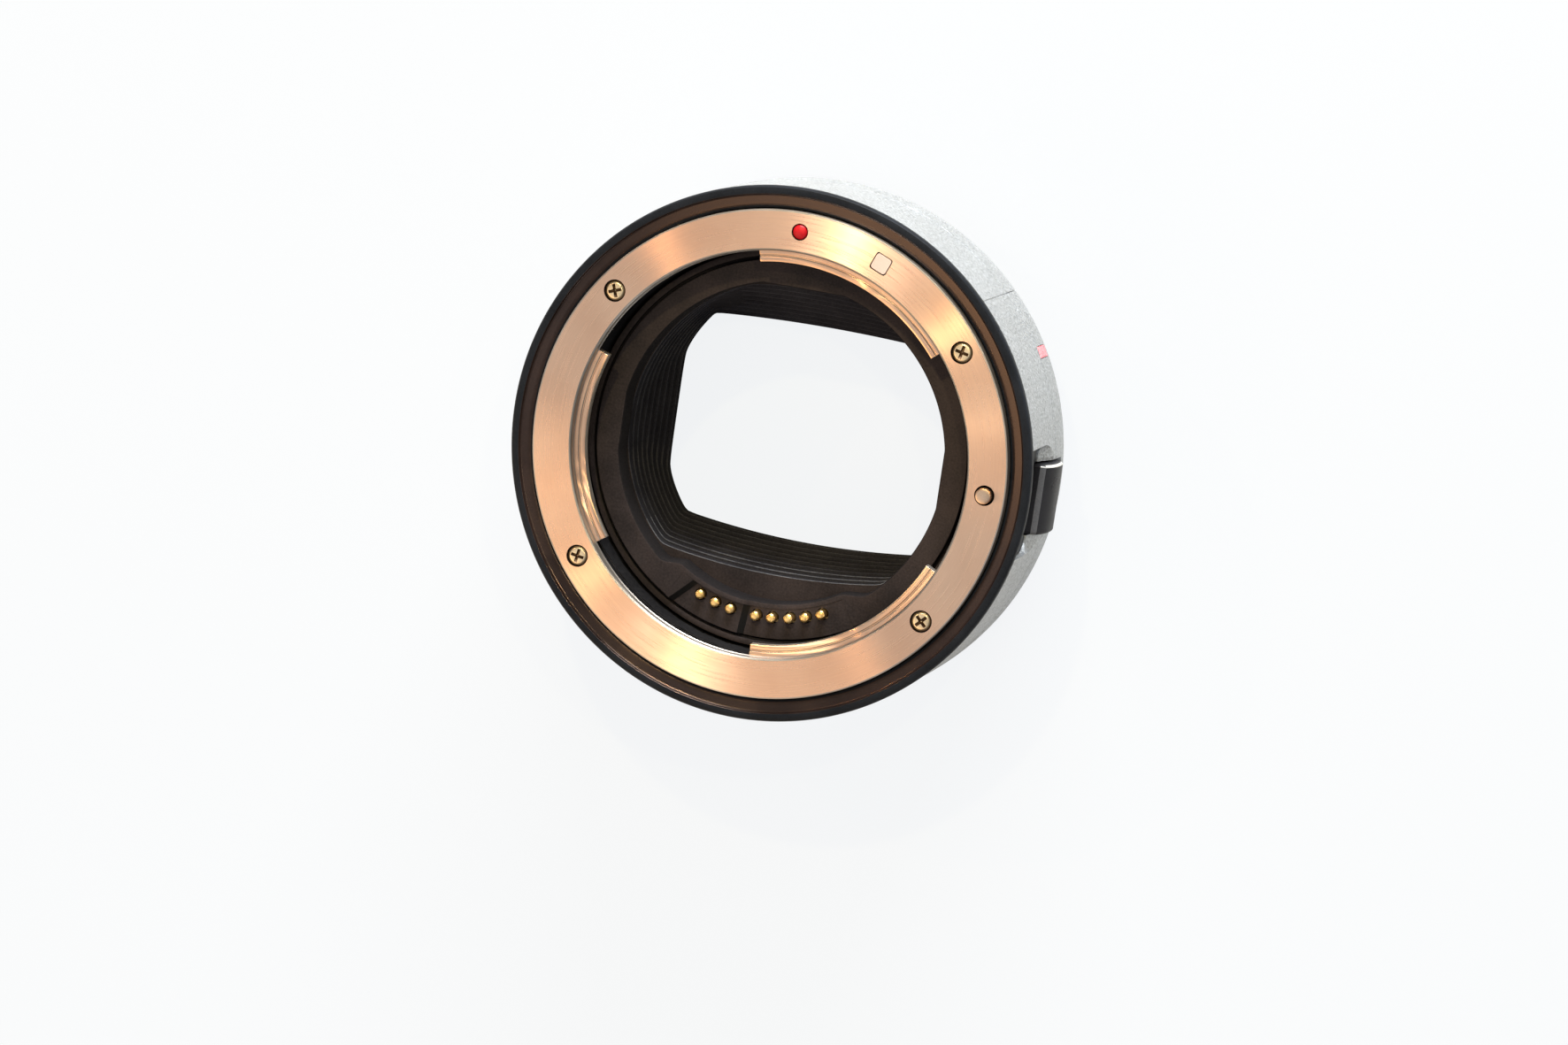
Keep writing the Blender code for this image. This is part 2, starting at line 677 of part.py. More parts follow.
def front_ring():
    """Black ring around the lens flange, with a sleeve inside the shell and a pad in its notch."""
    rough_bore = SLEEVE_BORE_R - SLEEVE_STOCK
    profile = quarter(BODY_R, below(RIM_DROP), BODY_R - RIM_R, RIM_ROUND)
    profile += [
        (BODY_R, below(BAND_DEPTH)), (SLEEVE_R, below(BAND_DEPTH)), (SLEEVE_R, below(SLEEVE_DEPTH)),
        (rough_bore, below(SLEEVE_DEPTH)), (rough_bore, below(RIM_DROP + BEVEL_DROP)),
        (RIM_R - RIM_LIP_SLOPE, below(RIM_DROP + RIM_LIP))]
    ring = turned("front_ring", profile, BLACK_PAINT)
    inside = rough_bore - OVERSHOOT
    join(ring, end_plate("notch_pad", notch_outline(0.0), inside, PAD_X))
    cut(ring, end_plate("pad_slot", slot_outline(), inside - OVERSHOOT, BEYOND))
    bore = rods("sleeve_bore", [(0.0, 0.0)], SLEEVE_BORE_R, below(SLEEVE_DEPTH + OVERSHOOT),
                LENS_Z + OVERSHOOT, ROUND_STEPS)
    cut(ring, bore)


def outer_shell():
    """Silver barrel, turned, with a flat notch, a window for the black pad and the lever slot."""
    rear_bore = REAR_FLANGE_R + FIT
    lip_z = FRAME_BOTTOM_Z - FIT
    end_z = CAMERA_Z + SHELL_END
    middle_r = REAR_R + (BODY_R - REAR_R) * TAPER_FULLNESS
    middle_z = end_z + (below(TAPER_DEPTH) - end_z) * TAPER_SPLIT
    profile = [
        (BODY_R, below(BAND_DEPTH + FIT)), (BODY_R, below(TAPER_DEPTH)), (middle_r, middle_z),
        (REAR_R, end_z), (rear_bore, end_z), (rear_bore, lip_z), (SHELL_BORE_R, lip_z),
        (SHELL_BORE_R, below(BAND_DEPTH + FIT))]
    shell = turned("outer_shell", profile, SILVER_PAINT)
    flare = FLAT_HALF + FLAT_FLARE
    flat = [
        (FLAT_X, LEVER_Y - FLAT_HALF), (BEYOND, LEVER_Y - flare), (BEYOND, LEVER_Y + flare),
        (FLAT_X, LEVER_Y + FLAT_HALF)]
    cut(shell, plate("notch_flat", [flat], below(FLAT_DEPTH), below(BAND_DEPTH - OVERSHOOT)))
    inside = POCKET_X
    cut(shell, end_plate("notch_window", notch_outline(FIT), inside, BEYOND))
    cut(shell, end_plate("lever_slot", slot_outline(), inside + OVERSHOOT, BEYOND))
    pocket = mark_outline(FIT, BODY_R - MARK_THICK - FIT, BEYOND)
    cut(shell, plate("mark_pocket", [pocket], below(MARK_DEPTH + MARK_LENGTH + FIT),
                     below(MARK_DEPTH - FIT)))


def body_frame():
    """Cast frame that both mount rings are screwed to, with the pocket of the release."""
    front = below(FLANGE_THICK + FRAME_GAP)
    waist = below(SLEEVE_DEPTH + FRAME_GAP)
    seat = below(SEAT_DEPTH)
    bore = THROAT_R + FRAME_BORE_PLAY
    profile = [
        (FRAME_FRONT_R, front), (FRAME_FRONT_R, waist), (FRAME_OUTER_R, waist),
        (FRAME_OUTER_R, FRAME_BOTTOM_Z), (FRAME_BORE_R, FRAME_BOTTOM_Z), (FRAME_BORE_R, FRAME_DECK_Z),
        (FRAME_WALL_R, FRAME_DECK_Z), (FRAME_WALL_R, seat - SEAT_THICK),
        (SEAT_R, seat - SEAT_THICK), (SEAT_R, seat), (bore, seat), (bore, below(DECK_STEP)),
        (DECK_R, below(DECK_STEP)), (DECK_R, front)]
    frame = turned("body_frame", profile, CAST_ALLOY)
    half = LEVER_HALF + 2 * FIT
    pocket_low = (POCKET_X, LEVER_Y - half, FRAME_DECK_Z + POCKET_FLOOR)
    pocket_high = (BEYOND, LEVER_Y + half, below(POCKET_DEPTH))
    cut(frame, box("release_pocket", pocket_low, pocket_high))
    apron_z = below(LEVER_BACK_DEPTH + APRON_LENGTH + RELEASE_TRAVEL + FIT)
    apron_low = (LEVER_INNER_X - FIT, LEVER_Y - half, apron_z)
    cut(frame, box("apron_slot", apron_low, (BEYOND, LEVER_Y + half, FRAME_DECK_Z + OVERSHOOT)))
    channel = LOCK_PIN_R + CHANNEL_PLAY
    channel_low = (POCKET_X, -channel, below(POCKET_DEPTH + POCKET_FLOOR))
    cut(frame, box("pin_channel", channel_low, (LOCK_PIN_X + channel, channel, LENS_Z)))
    places = [on_circle(SCREW_CIRCLE_R, angle) for angle in LENS_SCREW_ANGLES]
    tip = HEAD_SINK + HEAD_THICK + SHANK_LENGTH + THREAD_END_GAP
    cut(frame, rods("lens_threads", places, SHANK_R + FIT, below(tip), LENS_Z))
    places = [on_circle(SCREW_CIRCLE_R, angle) for angle in CAMERA_SCREW_ANGLES]
    tip = CAMERA_Z + HEAD_SINK + HEAD_THICK + CAMERA_SHANK_LENGTH + THREAD_END_GAP
    cut(frame, rods("camera_threads", places, SHANK_R + FIT, CAMERA_Z, tip))
    posts = [(RELEASE_SPRING_X, LEVER_Y + side * RELEASE_SPRING_OFFSET) for side in (-1, 1)]
    join(frame, rods("spring_posts", posts, POST_R, FRAME_DECK_Z - POST_ROOT,
                     FRAME_DECK_Z + POST_HEIGHT, SMALL_STEPS))


def inner_ring():
    """Black cover inside the throat; it bulges inward where it frames the contacts."""
    foot = below(RING_FOOT_DEPTH)
    seat = below(SEAT_DEPTH) + FIT
    plate_z = below(RING_DEPTH + RING_PLATE)
    skirt_z = below(SKIRT_DEPTH)
    inner_wall = RING_OPENING_R + SKIRT_WALL
    outer_wall = RING_FACE_R - SKIRT_WALL
    foot_r = THROAT_R - RING_FOOT_PLAY
    profile = [
        (RING_FACE_R, below(RING_DEPTH)), (RING_FACE_R, foot), (foot_r, foot),
        (foot_r, seat), (outer_wall, seat), (outer_wall, plate_z), (inner_wall, plate_z),
        (inner_wall, skirt_z), (RING_OPENING_R, skirt_z), (RING_OPENING_R, below(RING_DEPTH))]
    ring = turned("inner_ring", profile, BLACK_PLASTIC)
    start, end = BLOCK_ANGLES
    bulge = arc_band(LIP_R, RING_OPENING_R + SKIRT_WALL / 2, start - BULGE_MARGIN,
                     end + BULGE_MARGIN, PIECE_STEPS)
    join(ring, plate("contact_bulge", [bulge], skirt_z, below(RING_DEPTH)))
    side = math.degrees(FIT / PIN_CIRCLE_R)
    window = arc_band(LIP_OUTER_R, BLOCK_OUTER_R + 2 * FIT, start - side, end + side, PIECE_STEPS)
    cut(ring, plate("contact_window", [window], skirt_z - OVERSHOOT, LENS_Z))


def baffle_radius(section, angle):
    """Distance from the axis to the outline of one section, at an angle from +X."""
    dx = math.cos(angle)
    dy = math.sin(angle)
    reach = [section["round"]]
    if abs(dx) > 0.01:
        reach.append(section["side"] / abs(dx))
    edge = section["top"] if dy > 0 else section["bottom"]
    centre = section["bow"] - edge
    lift = centre * abs(dy)
    reach.append(math.sqrt(section["bow"] ** 2 - centre ** 2 + lift ** 2) - lift)
    return min(reach)


def baffle_section(t):
    """Section of the light path, blended from the lens end to the camera end."""
    return {key: BAFFLE_FRONT[key] + (BAFFLE_REAR[key] - BAFFLE_FRONT[key]) * t
            for key in BAFFLE_FRONT}


def flange_radius(angle):
    """Outer edge of the baffle's flange, which steps inward behind the contacts."""
    turn = (math.degrees(angle) - QUARTER_TURN) % FULL_TURN
    start, end = BLOCK_ANGLES
    if start - BAFFLE_FLANGE_STEP < turn < end + BAFFLE_FLANGE_STEP:
        return LIP_OUTER_R - BAFFLE_LIP_GAP
    return BAFFLE_FLANGE_R


def rear_plate_radius(angle):
    """Outer edge of the baffle's rear plate, which leaves room for the camera contacts."""
    edge = -REAR_BLOCK_Y - FIT
    return min(REAR_FILL_R, edge / max(-math.sin(angle), edge / BODY_R))


def light_baffle():
    """Black funnel from the round opening to the frame-shaped one, stepped to kill stray light.

    Its flange hangs under the inner ring, and its rear plate closes the camera side.
    """
    top = below(BAFFLE_TOP_DEPTH)
    pitch = (top - BAFFLE_END_Z) / BAFFLE_STEPS
    angles = [2 * math.pi * i / BAFFLE_POINTS for i in range(BAFFLE_POINTS)]
    rings = []
    for step in range(BAFFLE_STEPS):
        section = baffle_section(step / (BAFFLE_STEPS - 1))
        radii = [baffle_radius(section, a) for a in angles]
        rings.append(([r + BAFFLE_LEDGE * (step > 0) for r in radii], top - pitch * step))
        rings.append((radii, top - pitch * (step + 1) + LEDGE_SLOPE))
    first = baffle_section(0.0)
    last = baffle_section(1.0)
    outer_last = [baffle_radius(last, a) + BAFFLE_WALL for a in angles]
    flange = [flange_radius(a) for a in angles]
    outer_first = [min(baffle_radius(first, a) + BAFFLE_WALL, edge - BAFFLE_LIP_GAP)
                   for a, edge in zip(angles, flange)]
    rear_plate = [rear_plate_radius(a) for a in angles]
    rings.append((rear_plate, BAFFLE_END_Z))
    rings.append((rear_plate, BAFFLE_END_Z + BAFFLE_WALL))
    rings.append((outer_last, BAFFLE_END_Z + BAFFLE_WALL))
    rings.append((outer_first, top - BAFFLE_WALL))
    rings.append((flange, top - BAFFLE_WALL))
    rings.append((flange, top))
    bm = bmesh.new()
    rows = []
    for radii, height in rings:
        rows.append([bm.verts.new((r * math.cos(a) * MM, r * math.sin(a) * MM, height * MM))
                     for r, a in zip(radii, angles)])
    for row, following in zip(rows, rows[1:] + rows[:1]):
        for i in range(BAFFLE_POINTS):
            j = (i + 1) % BAFFLE_POINTS
            bm.faces.new((row[i], row[j], following[j], following[i]))
    bmesh.ops.recalc_face_normals(bm, faces=bm.faces)
    add_object("light_baffle", finish_mesh("light_baffle", bm), BAFFLE_BLACK)


def contact_block():
    """Moulded block that guides the eight pins, lower on the side with five of them."""
    start, end = BLOCK_ANGLES
    inner = LIP_OUTER_R + FIT
    bottom = below(BLOCK_BOTTOM_DEPTH)
    outline = arc_band(inner, BLOCK_OUTER_R, start, end, PIECE_STEPS)
    block = plate("contact_block", [outline], bottom, below(BLOCK_HIGH_DEPTH), BLACK_PLASTIC)
    ramp = BLOCK_STEP_X + BLOCK_RAMP
    far = BLOCK_OUTER_R + OVERSHOOT
    step = [
        (BLOCK_STEP_X, LENS_Z), (BLOCK_STEP_X, below(BLOCK_HIGH_DEPTH)),
        (ramp, below(BLOCK_LOW_DEPTH)), (far, below(BLOCK_LOW_DEPTH)), (far, LENS_Z)]
    cut(block, side_plate("block_step", step, -far, 0.0))
    places = [on_circle(PIN_CIRCLE_R, angle) for angle in PIN_ANGLES]
    under = bottom - OVERSHOOT
    cut(block, rods("pin_guides", places, PIN_R + FIT, under, LENS_Z))
    roof = below(PIN_SHOULDER_DEPTH - FIT)
    cut(block, rods("pin_chambers", places, PIN_SHOULDER_R + FIT, under, roof))
    middle = (inner + BLOCK_OUTER_R) / 2
    feet = [on_circle(middle, angle) for angle in (start + BLOCK_FOOT_MARGIN, end - BLOCK_FOOT_MARGIN)]
    join(block, rods("block_feet", feet, BLOCK_FOOT_R, below(BOARD_DEPTH - FIT), bottom + FIT,
                     SMALL_STEPS))


def contacts():
    """Gold pins with a shoulder under the block's roof, each on its own spring."""
    for number, angle in enumerate(PIN_ANGLES, 1):
        x, y = on_circle(PIN_CIRCLE_R, angle)
        shoulder = -PIN_SHOULDER_DEPTH - PIN_SHOULDER_THICK
        profile = quarter(PIN_R, -PIN_TIP_DEPTH, PIN_R, PIN_DOME) + [
            (PIN_R, -PIN_SHOULDER_DEPTH), (PIN_SHOULDER_R, -PIN_SHOULDER_DEPTH),
            (PIN_SHOULDER_R, shoulder), (PIN_TAIL_R, shoulder), (PIN_TAIL_R, -PIN_TAIL_DEPTH),
            (0.0, -PIN_TAIL_DEPTH)]
        turned(f"contact_pin_{number}", profile, GOLD, (x, y, LENS_Z), SMALL_STEPS, closed=False)
        high = shoulder - FIT
        low = -BOARD_DEPTH + FIT
        helix(f"contact_spring_{number}", PIN_SPRING_R, PIN_SPRING_WIRE_R, low, high,
              PIN_SPRING_TURNS, SPRING_STEEL, (x, y, LENS_Z))


def contact_wiring():
    """Board under the pins and the flat film that runs down to the camera contacts."""
    start, end = BLOCK_ANGLES
    outline = arc_band(BOARD_INNER_R, BLOCK_OUTER_R, start, end, PIECE_STEPS)
    plate("contact_board", [outline], below(BOARD_DEPTH + BOARD_THICK), below(BOARD_DEPTH),
          BOARD_GREEN)
    low = CAMERA_Z + REAR_BLOCK_TOP + FIT
    high = below(BOARD_DEPTH + BOARD_THICK + FIT)
    far = FLEX_INSET - REAR_FILL_R
    box("flex_cable", (-FLEX_HALF, far, low), (FLEX_HALF, far + FLEX_THICK, high), FLEX_AMBER)


def camera_mount_ring():
    """Chromed ring with the three lugs that turn into the camera's bayonet."""
    top = CAMERA_Z + REAR_FLANGE_THICK
    bore = TUBE_R - TUBE_WALL
    profile = [
        (REAR_FLANGE_R, top), (REAR_FLANGE_R, CAMERA_Z + FLANGE_CHAMFER),
        (REAR_FLANGE_R - FLANGE_CHAMFER, CAMERA_Z), (TUBE_R, CAMERA_Z), (TUBE_R, 0.0), (bore, 0.0),
        (bore, top)]
    ring = turned("rear_mount_ring", profile, CHROME)
    for number, (start, end) in enumerate(LUG_ANGLES, 1):
        outline = arc_band(TUBE_R - TUBE_WALL / 2, LUG_R, start, end, PIECE_STEPS)
        join(ring, plate(f"lug_{number}", [outline], LUG_RISE, LUG_RISE + LUG_THICK))
    places = [on_circle(SCREW_CIRCLE_R, angle) for angle in CAMERA_SCREW_ANGLES]
    sink = CAMERA_Z + HEAD_SINK + HEAD_THICK + FIT
    under = CAMERA_Z - OVERSHOOT
    over = top + OVERSHOOT
    cut(ring, rods("camera_screw_heads", places, HEAD_R + FIT, under, sink))
    cut(ring, rods("camera_screw_holes", places, SHANK_R + FIT, under, over))
    lock = [on_circle(SCREW_CIRCLE_R, LOCK_HOLE_ANGLE)]
    cut(ring, rods("camera_lock_hole", lock, LOCK_HOLE_R, under, over))


def camera_contacts():
    """Block in the bayonet tube that carries the row of camera contact pads."""
    half = math.degrees(math.acos(-REAR_BLOCK_Y / REAR_FILL_R))
    outline = arc(REAR_FILL_R, HALF_TURN - half, HALF_TURN + half, PIECE_STEPS)
    plate("rear_contact_block", [outline], REAR_BLOCK_Z, CAMERA_Z + REAR_BLOCK_TOP, BLACK_PLASTIC)
    low = REAR_BLOCK_Z - PAD_GAP - PAD_THICK
    corners = [(-PAD_WIDTH / 2, -PAD_LENGTH / 2), (PAD_WIDTH / 2, -PAD_LENGTH / 2),
               (PAD_WIDTH / 2, PAD_LENGTH / 2), (-PAD_WIDTH / 2, PAD_LENGTH / 2)]
    for number in range(1, PAD_COUNT + 1):
        angle = HALF_TURN + (number - (PAD_COUNT + 1) / 2) * PAD_PITCH
        pad = plate(f"rear_contact_{number}", [rounded(corners, PAD_WIDTH / 3, 1)], low,
                    low + PAD_THICK, GOLD, on_circle(PAD_CIRCLE_R, angle))
        pad.rotation_euler = (0.0, 0.0, math.radians(angle))


def cross_rods(name, radius, low, high):
    """Cylinders along X on the lines of the two lever screws."""
    bm = bmesh.new()
    for y in LEVER_SCREW_PLACES:
        place = ((low + high) / 2 * MM, y * MM, below(LEVER_SCREW_DEPTH) * MM)
        matrix = Matrix.Translation(place) @ Matrix.Rotation(math.radians(QUARTER_TURN), 4, "Y")
        bmesh.ops.create_cone(
            bm, cap_ends=True, segments=HOLE_STEPS, radius1=radius * MM, radius2=radius * MM,
            depth=(high - low) * MM, matrix=matrix)
    return add_object(name, finish_mesh(name, bm))


def lever_threads(name):
    """Cutter for the screw holes, through the bracket and into the lever."""
    return cross_rods(name, LEVER_SCREW_R + FIT, LEVER_INNER_X - OVERSHOOT - SLIDER_SHEET,
                      LEVER_INNER_X + LEVER_SCREW_LENGTH)


def release_lever():
    """Lever with an apron that keeps the slot covered, screwed to the bracket behind it."""
    inner = LEVER_INNER_X - LOCK_PIN_X
    sheet = inner + APRON_THICK
    front = -LEVER_FRONT_DEPTH
    back = -LEVER_BACK_DEPTH
    apron = back - APRON_LENGTH
    crown = [(BODY_R + rise - LOCK_PIN_X, front - depth) for rise, depth in LEVER_CROWN]
    outline = [(inner, front), (LEVER_FOOT_X - LOCK_PIN_X, front)] + crown
    outline += [(sheet, back), (sheet, apron), (inner, apron)]
    lever = side_plate("release_lever", outline, LEVER_Y - LEVER_HALF, LEVER_Y + LEVER_HALF,
                       LEVER_BLACK, (LOCK_PIN_X, 0.0, LENS_Z))
    bevel(lever, LEVER_EDGE, 2, 60.0)
    cut(lever, lever_threads("lever_threads"))


def release_slider():
    """Bent steel bracket that ties the lever to the lock pin, with a tab on the two springs."""
    outer = LEVER_INNER_X - FIT - LOCK_PIN_X
    wall = outer - SLIDER_SHEET
    near = wall - SLIDER_ARM
    arm = -SLIDER_DEPTH
    tab = -TAB_DEPTH
    bracket = [
        (near, arm), (outer, arm), (outer, tab - TAB_TAIL), (wall, tab - TAB_TAIL),
        (wall, tab - SLIDER_SHEET), (near, tab - SLIDER_SHEET), (near, tab), (wall, tab),
        (wall, arm - SLIDER_SHEET), (near, arm - SLIDER_SHEET)]
    slider = side_plate("release_slider", bracket, LEVER_Y - SLIDER_HALF, LEVER_Y + SLIDER_HALF,
                        STEEL, (LOCK_PIN_X, 0.0, LENS_Z))
    cut(slider, lever_threads("bracket_holes"))
    cut(slider, rods("rivet_hole", [(LOCK_PIN_X, 0.0)], LOCK_PIN_TAIL_R + FIT,
                     below(SLIDER_DEPTH + SLIDER_SHEET + OVERSHOOT), below(SLIDER_DEPTH - OVERSHOOT)))


def lock_pin():
    """Steel pin that holds the lens; its tail is riveted into the bracket."""
    shoulder = FIT - SLIDER_DEPTH
    tail = -SLIDER_DEPTH - SLIDER_SHEET - LOCK_PIN_RIVET
    profile = [
        (0.0, LOCK_PIN_PROUD), (LOCK_PIN_R - LOCK_PIN_EDGE, LOCK_PIN_PROUD),
        (LOCK_PIN_R, LOCK_PIN_PROUD - LOCK_PIN_EDGE), (LOCK_PIN_R, shoulder),
        (LOCK_PIN_TAIL_R, shoulder), (LOCK_PIN_TAIL_R, tail), (0.0, tail)]
    turned("lock_pin", profile, STEEL, (LOCK_PIN_X, 0.0, LENS_Z), HOLE_STEPS, closed=False)


def lever_screws():
    head_x = LEVER_INNER_X - FIT - SLIDER_SHEET - FIT - HEAD_THICK
    for number, y in enumerate(LEVER_SCREW_PLACES, 1):
        fastener = screw(f"lever_screw_{number}", (head_x, y, below(LEVER_SCREW_DEPTH)),
                         LEVER_SCREW_HEAD_R, LEVER_SCREW_R, LEVER_SCREW_LENGTH)
        fastener.rotation_euler = (0.0, -math.pi / 2, 0.0)


def release_springs():
    """Two coil springs on the frame's posts that push the bracket toward the lens."""
    foot = FRAME_DECK_Z + FIT
    height = below(TAB_DEPTH + SLIDER_SHEET + FIT) - foot
    for number, side in enumerate((-1, 1), 1):
        at = (RELEASE_SPRING_X, LEVER_Y + side * RELEASE_SPRING_OFFSET, foot)
        helix(f"release_spring_{number}", RELEASE_SPRING_R, RELEASE_SPRING_WIRE_R, 0.0, height,
              RELEASE_SPRING_TURNS, SPRING_STEEL, at)


lens_mount_ring()
bayonet_spring()
index_marks()
mount_screws()
front_ring()
outer_shell()
body_frame()
inner_ring()
light_baffle()
contact_block()
contacts()
contact_wiring()
camera_mount_ring()
camera_contacts()
release_lever()
release_slider()
lock_pin()
lever_screws()
release_springs()
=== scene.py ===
"""Looks of the lens mount adapter: fine edges, finishes, soft studio light and the camera.

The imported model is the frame. Sizes are in millimetres here too, places come from the frame's
nodes, and heights are given as depths under the lens flange. Z is the optical axis, Y points to
the red index dot and X to the lock pin. Angles run from +Y toward -X.
"""
import math

import bmesh
import bpy
from mathutils import Matrix, Vector


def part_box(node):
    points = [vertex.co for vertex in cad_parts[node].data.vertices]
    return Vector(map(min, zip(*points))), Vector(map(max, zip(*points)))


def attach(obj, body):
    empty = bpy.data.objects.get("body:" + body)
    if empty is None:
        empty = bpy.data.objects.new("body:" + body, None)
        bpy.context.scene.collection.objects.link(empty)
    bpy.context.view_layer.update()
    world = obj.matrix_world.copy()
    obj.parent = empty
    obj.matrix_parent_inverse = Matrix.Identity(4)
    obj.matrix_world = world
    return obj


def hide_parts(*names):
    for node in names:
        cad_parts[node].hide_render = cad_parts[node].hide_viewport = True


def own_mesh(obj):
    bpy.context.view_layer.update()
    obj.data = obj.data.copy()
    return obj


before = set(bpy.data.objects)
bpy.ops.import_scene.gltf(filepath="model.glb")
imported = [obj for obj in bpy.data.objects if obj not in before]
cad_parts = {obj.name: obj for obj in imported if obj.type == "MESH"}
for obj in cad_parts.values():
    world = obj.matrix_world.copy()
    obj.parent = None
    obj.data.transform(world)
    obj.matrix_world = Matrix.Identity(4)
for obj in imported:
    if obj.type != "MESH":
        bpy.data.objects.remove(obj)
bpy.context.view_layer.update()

MM = 0.001
FULL_TURN = 360.0
HALF_TURN = 180.0
OVERSHOOT = 1.0
FIT = 0.25
WALL = 0.9


def edges(node):
    """Lowest and highest corner of a node of the frame, in millimetres."""
    return [[value / MM for value in corner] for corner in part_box(node)]


def middle(node):
    return [(a + b) / 2 for a, b in zip(*edges(node))]


# Sizes read from the frame; the rear screws' heads lie a little under the camera flange
REAR_HEAD_SINK = 0.08
LENS_Z = edges("front_mount_ring")[1][2]
FLANGE_R = edges("front_mount_ring")[1][0]
BODY_R = edges("outer_shell")[1][1]
CAMERA_Z = edges("rear_screw_1")[0][2] - REAR_HEAD_SINK
SHELL_END_Z = edges("outer_shell")[0][2]
RING_FOOT_Z = edges("inner_ring")[0][2]
BLOCK_BOTTOM_Z = edges("contact_block")[0][2]
LEVER_Y = middle("release_lever")[1]

# Facets of turned and small pieces, and material slots of a piece
ROUND_STEPS = 240
SMALL_STEPS = 40
SLOTS = 4

# Numbers of the screws of a flange, of the sprung pins and of the camera's pads
SCREWS = range(1, 5)
PINS = range(1, 9)
PADS = range(1, 13)

# Slopes of flat faces, walls, claw sides and rounded edges, and the height of an edge's strip
FLAT_SLOPE = 0.98
WALL_SLOPE = 0.75
CLAW_SLOPE = 0.8
EDGE_SLOPE = 0.3
EDGE_STRIP = 0.12

# Least part of a direction by which a side's distance is divided
LEAST_PART = 0.1

# Coil springs: facets, wire radii and numbers of coils
COIL_STEPS = 20
WIRE_STEPS = 8
PIN_WIRE_R = 0.11
PIN_COILS = 2.5
RELEASE_WIRE_R = 0.18
RELEASE_COILS = 4.5

# Lens mount ring; chamfer and groove are (radius, depth) points
THROAT_R = 27.0
THROAT_LIP = 0.12
THROAT_CHAMFER = ((THROAT_R, 0.26), (THROAT_R + 0.1, 0.1), (THROAT_R + 0.3, 0.0))
FLANGE_THICK = 1.6
FLANGE_EDGE = 0.22
COLLAR_STEP = 0.1
COLLAR_DEPTH = 3.0
LEDGE_DEPTH = 1.22
CLAW_ANGLES = ((-50.3, 11.5), (69.0, 126.0), (182.6, 245.1))
CLAW_GROOVE = ((26.4, 1.26), (26.33, 1.42), (26.2, 1.42), (26.13, 1.3))
CLAW_R = 25.4
CLAW_TOP = 1.32
CLAW_BOTTOM = 2.7
CLAW_ROOT = 0.05

# Screws; the head is (radius, height) points, and the recess (height, reach, half width) rows
HEAD_R = 1.35
HEAD_THICK = 0.6
HEAD_FLAT_R = 1.05
HEAD_PLAY = 0.14
HEAD_ROOM = 0.4
SHANK_R = 0.7
HEAD_PROFILE = ((0.0, 0.0), (0.4, -0.01), (0.8, -0.04), (HEAD_FLAT_R, -0.08),
                (HEAD_R - 0.06, -0.27), (HEAD_R, -0.36), (HEAD_R, -HEAD_THICK),
                (SHANK_R, -HEAD_THICK))
RECESS_HALF = 0.21
RECESS_ROWS = ((0.4, 1.0, 0.27), (0.0, 0.96, RECESS_HALF), (-0.45, 0.55, 0.15))
RECESS_MIDDLE = 0.22
RECESS_TURNS = (19.5, -9.4, 45.0, -12.3)
REAR_RECESS_TURN = 25.0
LENS_SCREW_SINK = 0.02
CAMERA_SCREW_SINK = 0.05

# Index marks and lock pin
DOT_R = 1.0
DOT_RISE = 0.24
DOT_DOME = 0.54
DOT_FOOT = 0.45
DOT_HOLE_R = 1.12
DOT_HOLE_DEPTH = 0.55
SQUARE_SIDE = 2.2
SQUARE_CORNER = 0.42
SQUARE_HOLE_SIDE = 2.45
SQUARE_HOLE_DEPTH = 0.6
SQUARE_DEPTHS = (0.5, 0.01)
MARK_HALF = 0.8
MARK_PLAY = 0.08
MARK_THICK = 0.3
MARK_RISE = 0.01
MARK_POCKET = 0.5
LOCK_HOLE_R = 1.35
LOCK_PIN_R = 1.05
LOCK_STEM_R = 0.6
LOCK_SHOULDER_DEPTH = 6.15

# Black front ring; the slope is (radius, depth) points
RIM_R = 34.5
RIM_DROP = 0.25
BAND_DEPTH = 1.5
SLEEVE_BORE_R = 32.75
SLEEVE_R = 33.55
SLEEVE_DEPTH = 9.3
FLANGE_GAP = 0.13
RIM_SLOPE = ((SLEEVE_BORE_R, 1.7), (FLANGE_R + FLANGE_GAP, 1.45), (FLANGE_R + FLANGE_GAP, 1.2),
             (SLEEVE_BORE_R + 0.15, 0.95), (RIM_R - 0.25, 0.62), (RIM_R - 0.12, RIM_DROP))
GLOSS_DEPTH = 1.3
GLOSS_R = (SLEEVE_BORE_R + 0.1, RIM_R - 0.08)
PAD_X = 33.85
PAD_ROOT = 2.0
PAD_LIFT = 0.06
PAD_HALF = 7.0
PAD_CORNER = 2.6
PAD_OVERLAP = 0.4

# Silver shell, its notch, slot and seam
CREASE_DEPTH = 15.4
CREASE_STEP = 0.07
CREASE_WIDTH = 0.15
TAPER_DEPTH = 19.7
TAPER_MIDDLE = (0.34, 2.2)
TAPER_END = 1.2
REAR_BORE_R = 33.25
REAR_LIP = 1.45
SHELL_INSIDE = 28.0
FLAT_X = (33.95, 35.25)
FLAT_HALF = 6.6
FLAT_FLARE = 1.0
FLAT_RISE_DEPTH = 9.0
NOTCH_STEPS = 8
NOTCH_WALL = 1.1
NOTCH_SPREAD = 1.4
NOTCH_FILLET = 0.9
NOTCH_SPARE = 0.5
SLOT_HALF = 4.95
SLOT_DEPTHS = (8.0, 18.65)
SLOT_CORNER = 0.8
SLOT_ROOT = 4.0
SEAM_ANGLE = -45.5
SEAM_HALF = 0.07
SEAM_DEPTH = 0.16
SEAM_RISE = 0.3

